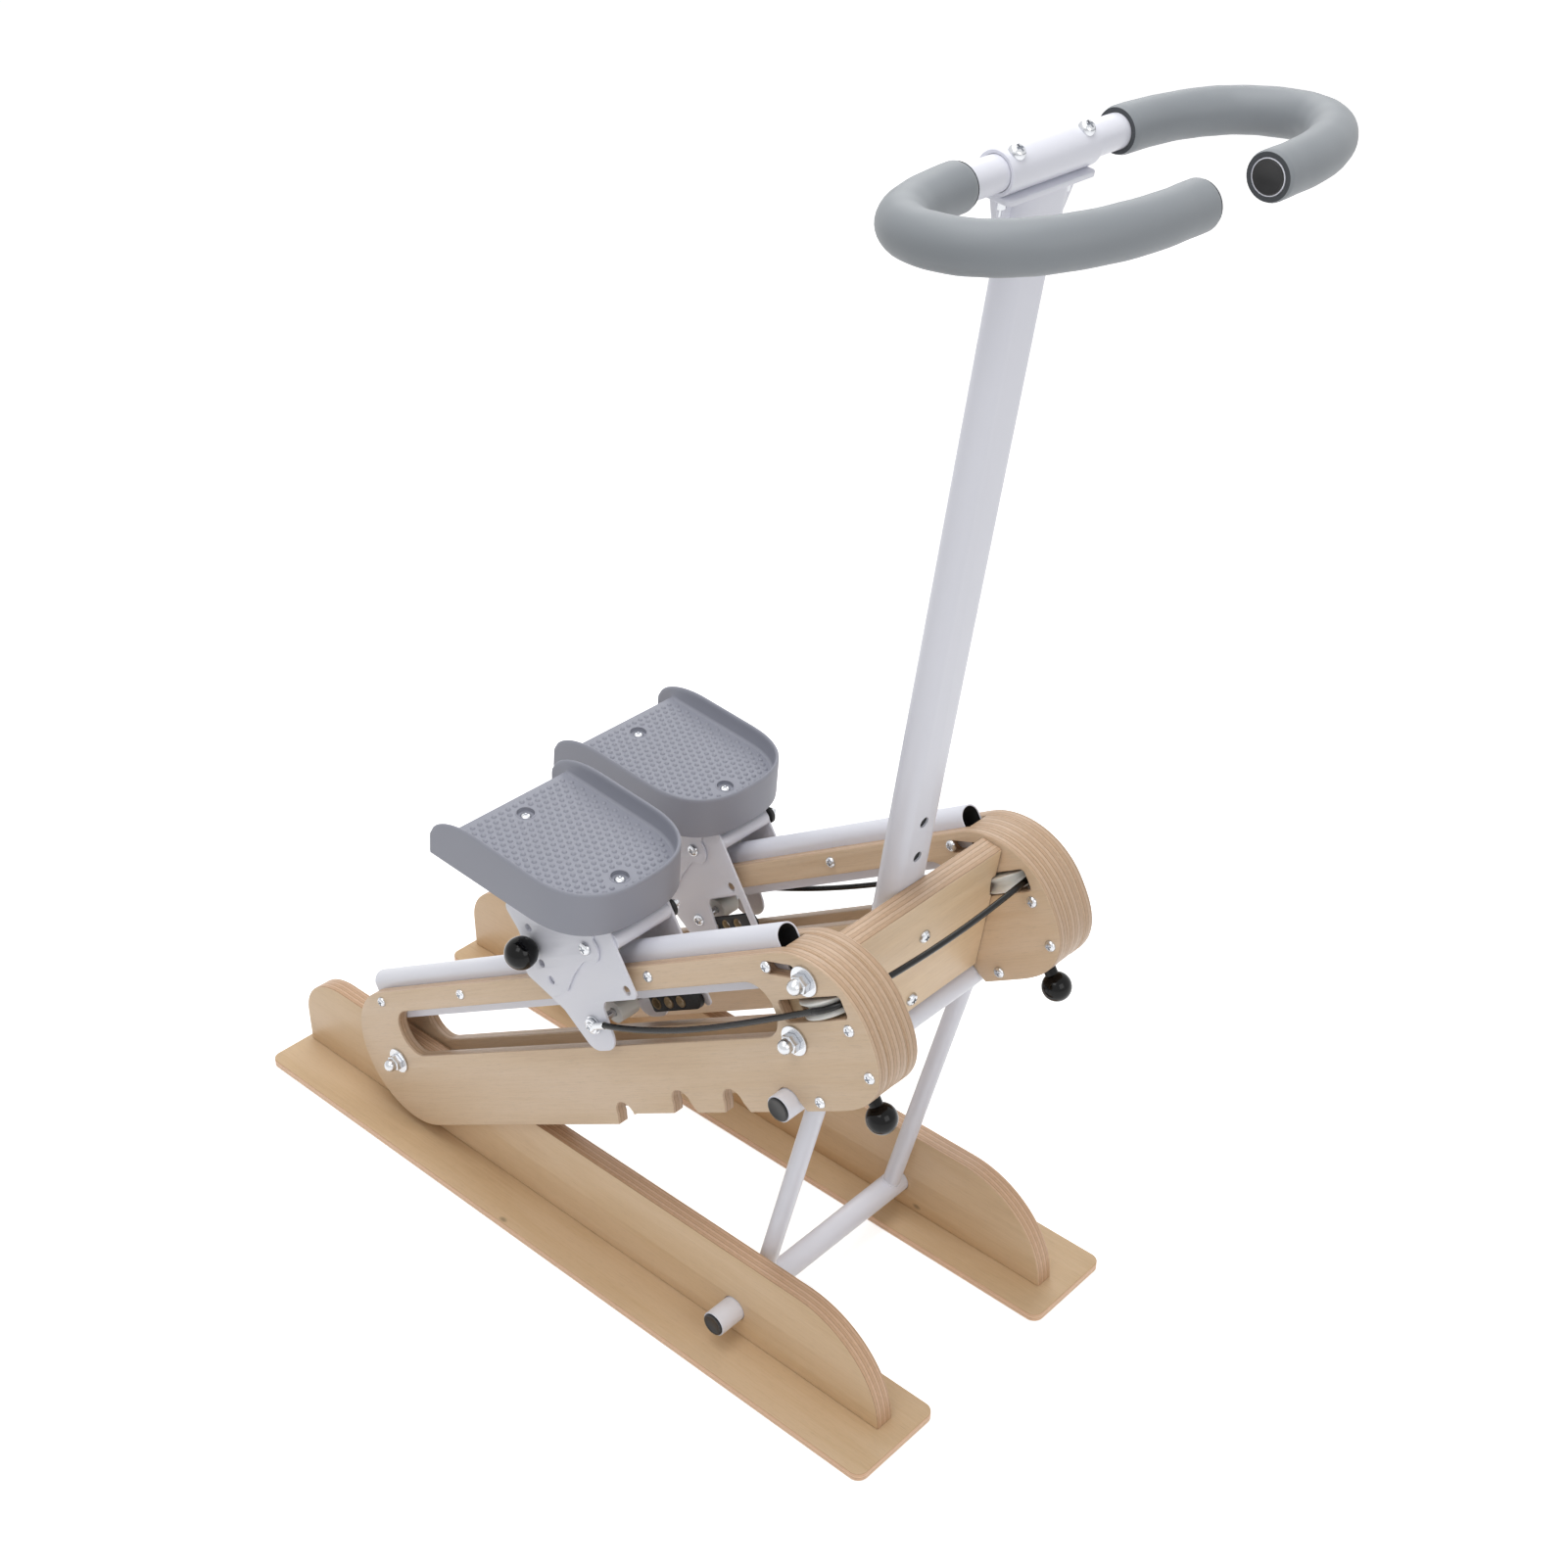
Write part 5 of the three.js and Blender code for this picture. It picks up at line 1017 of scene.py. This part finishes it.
# the rim is a wall carried round the plan: two straight sides and a round toe. Its top falls to the rear lips
def makePedal(side, settings):
    name = sideName[side]
    place = sided(pedalPlace[side], side)
    half, toe, lip, wall, floorRear = pick(settings, "half toe lip wall floorRear")
    lipStart, lipLow, rimTop, skirtDepth = pick(settings, "lipStart lipLow rim skirt")
    centre = toe - half
    straight = np.linspace(-lip + 0.6, centre, 34)
    toeAngle = np.radians(np.linspace(0, 180, 49))[1:-1]
    share = 2 / settings["toePower"]
    toeAcross = np.sign(np.cos(toeAngle)) * np.abs(np.cos(toeAngle)) ** share
    toeAlong = np.sin(toeAngle) ** share
    sideways = np.concatenate([np.ones(34), toeAcross, -np.ones(34)])
    forward = np.concatenate([np.zeros(34), toeAlong, np.zeros(34)])
    origin = np.concatenate([straight, np.full_like(toeAlong, centre), straight[::-1]])

    # the plan drawn smaller by an inset: the sides move in and the toe keeps its centre
    def plan(inset):
        return np.c_[(half - inset) * sideways, origin + (half - inset) * forward]

    along = plan(0)[:, 1]
    # rear end of the wall: a quarter of an ellipse from the rim down to the skirt
    fall = np.clip((lipStart - along) / (lipStart + lip), 0, 1)
    rim = lipLow + (rimTop - lipLow) * np.sqrt(np.maximum(1 - fall ** 2, 0))
    deepening = (settings["lipSkirt"] - skirtDepth) * np.clip((toe - along) / (toe + lip), 0, 1)
    skirt = -skirtDepth - deepening
    # the fillet over the floor, which ends where the floor ends
    ledge = np.clip((along - floorRear + 1) / 4, 0, 1)
    rows = [(0.9, skirt), (0.2, skirt + 0.7), (0.0, skirt + 4), (0.3, rim - 5), (0.6, rim - 1.6), (1.3, rim - 0.4),
            (2.0, rim), (2.9, rim - 0.4), (3.6, rim - 1.6), (wall, rim - 5),
            (wall + 0.3 * ledge, np.minimum(rim - 5.5, 3.2)), (wall + 1.4 * ledge, np.minimum(rim - 6, 0.9)),
            (wall + 3.2 * ledge, np.minimum(rim - 6.5, 0.05)), (wall + 3.2 * ledge, np.minimum(rim - 7, -3.6)),
            (wall, np.minimum(rim - 7.2, -3.9)), (wall - 0.6, np.minimum(rim - 8, skirt + 0.6)), (2.4, skirt)]
    points = np.stack([np.c_[plan(inset), height] for inset, height in rows])
    count = points.shape[1]
    faces = gridFaces(len(rows), count, closeRows=True, closeColumns=False)
    faces.append([row * count for row in range(len(rows))])
    faces.append([row * count + count - 1 for row in range(len(rows))][::-1])
    radius = half - wall - 1.0
    floor = np.concatenate([[[radius, floorRear]], np.c_[radius * toeAcross, centre + radius * toeAlong],
                            [[-radius, floorRear]]])
    holes = [circle(0, hole, 8.6) for hole in settings["screws"]]
    parts = [outward(addMesh(points.reshape(-1, 3), faces, place), 40),
             plate([floor] + holes, -4, 0, "z", place, 0.6),
             makeStuds(settings, centre, place)]
    parts += [lathe(settings["well"], place, "z", (0, hole, 0), 36) for hole in settings["screws"]]
    addPiece(f"foot_pedal_{name}", parts, f"pedal_{name}", pedalPlastic, f"pedal_{name}")
    screws = [panScrew((0, hole, -3.9), (0, 0, 1), place, 5.2, 2.2) for hole in settings["screws"]]
    addPiece(f"pedal_screws_{name}", screws, f"pedal_{name}", zinc)


for side in (1, -1):
    makeCarriage(side, carriageSettings)
    makePedalBracket(side, carriageSettings)
    makePedal(side, pedalSettings)
print("stepper: carriages and pedals made")

cableSettings = dict(
    radius=2.9, pulleyV=25.5, bend=28, sag=11.0, bow=5.0, eyeX=39.8, eyeU=-19.7, eyeV=31.0,
)


# the cross run goes straight over the beam's front and bends by a quarter turn round each pulley
def makeCable(settings):
    radius, height, bend = pick(settings, "radius pulleyV bend")
    t = np.linspace(0, math.pi / 2, 22)
    quarter = np.c_[trackX + bend * np.sin(t), pulleyU + bend * np.cos(t), np.full_like(t, height)]
    middle = np.c_[np.linspace(-trackX, trackX, 26)[1:-1], np.full(24, pulleyU + bend), np.full(24, height)]
    middle[:, 2] -= settings["bow"] * np.cos(middle[:, 0] / trackX * math.pi / 2)
    path = np.concatenate([(quarter * [-1, 1, 1])[::-1], middle, quarter])
    addPiece("cable_over_beam", sweep(path, radius, 18, trackPlace), "climb_frame", cableSkin, "cable_cross")
    s = np.linspace(0, 1, 44)
    for side in (1, -1):
        name, place = sideName[side], sided(trackPlace, side, 0)
        start = np.array([trackX + settings["eyeX"], carriageU[side] + settings["eyeU"], settings["eyeV"]])
        end = np.array([trackX + bend, pulleyU - 0.3, height])
        run = start + (end - start) * s[:, None]
        run[:, 2] -= settings["sag"] * np.sin(math.pi * s ** 0.85) * (1 - 0.35 * s)
        piece = addPiece(f"cable_side_{name}", sweep(run, radius, 18, place), None, cableSkin, f"cable_run_{name}")
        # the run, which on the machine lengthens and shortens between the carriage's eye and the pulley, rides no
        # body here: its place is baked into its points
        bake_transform(piece)


makeCable(cableSettings)
print("stepper: cable made")

stageSettings = dict(half=9, floorZ=-0.0005, floor="f2f2f2", glow=0.62, world=0.4, aim=(0, 0.05, 0.45))
lampSettings = {
    "key": {"place": (2.0, 0.5, 3.2), "size": 1.4, "power": 14.5},
    "fill": {"place": (0.5, 3.2, 2.2), "size": 2.0, "power": 22},
    "rear": {"place": (-2.2, -1.6, 2.8), "size": 1.8, "power": 19},
    "top": {"place": (0.1, -0.2, 3.6), "size": 2.0, "power": 46},
}


# one for the rays that show the background: straight from the camera, mirrored by a surface or passed through one
def backgroundRays(tree):
    rays = addNode(tree, "ShaderNodeLightPath").outputs
    either = calc(tree, "MAXIMUM", rays["Is Camera Ray"], rays["Is Glossy Ray"])
    return calc(tree, "MAXIMUM", either, rays["Is Transmission Ray"])


# what other rays see or what the background's rays see, joined at an output
def splitRays(tree, others, background, output):
    mix = addNode(tree, "ShaderNodeMixShader", {}, {0: backgroundRays(tree), 1: others, 2: background})
    tree.links.new(mix.outputs["Shader"], tree.nodes[output].inputs["Surface"])


# a pale floor that glows a little in the background's rays, so that it reaches white and keeps the shadow
def addStage(settings):
    half, z = settings["half"], settings["floorZ"]
    mesh = bpy.data.meshes.new("studioFloor")
    mesh.from_pydata([(-half, -half, z), (half, -half, z), (half, half, z), (-half, half, z)], [], [(0, 1, 2, 3)])
    floor = addObject("studioFloor", mesh)
    floorLook = {"Base Color": linear(settings["floor"]), "Roughness": 0.9}
    material, tree, shader = newMaterial("paleFloor", floorLook)
    plain = shader.outputs["BSDF"]
    glow = addNode(tree, "ShaderNodeEmission", {"in:Color": (1, 1, 1, 1), "in:Strength": settings["glow"]})
    bright = addNode(tree, "ShaderNodeAddShader", {}, {0: plain, 1: glow.outputs["Emission"]})
    splitRays(tree, plain, bright.outputs["Shader"], "Material Output")
    mesh.materials.append(material)
    world = bpy.data.worlds.new("studio")
    bpy.context.scene.world = world
    world.use_nodes = True
    tree = world.node_tree
    dim = tree.nodes["Background"]
    dim.inputs["Color"].default_value = (1, 1, 1, 1)
    dim.inputs["Strength"].default_value = settings["world"]
    white = addNode(tree, "ShaderNodeBackground", {"in:Color": (1, 1, 1, 1), "in:Strength": 1.0})
    splitRays(tree, dim.outputs["Background"], white.outputs["Background"], "World Output")


# square lamps, all turned to one point of the object
def addLamps(lamps, aim):
    for name, lamp in lamps.items():
        data = bpy.data.lights.new(name, "AREA")
        data.shape = "SQUARE"
        data.size = lamp["size"]
        data.energy = lamp["power"]
        place = Vector(lamp["place"])
        turn = (Vector(aim) - place).to_track_quat("-Z", "Y")
        addObject(name, data).matrix_world = Matrix.Translation(place) @ turn.to_matrix().to_4x4()


addStage(stageSettings)
addLamps(lampSettings, stageSettings["aim"])
bpy.context.scene.view_settings.view_transform = "Standard"
print("stepper: stage and lamps made")
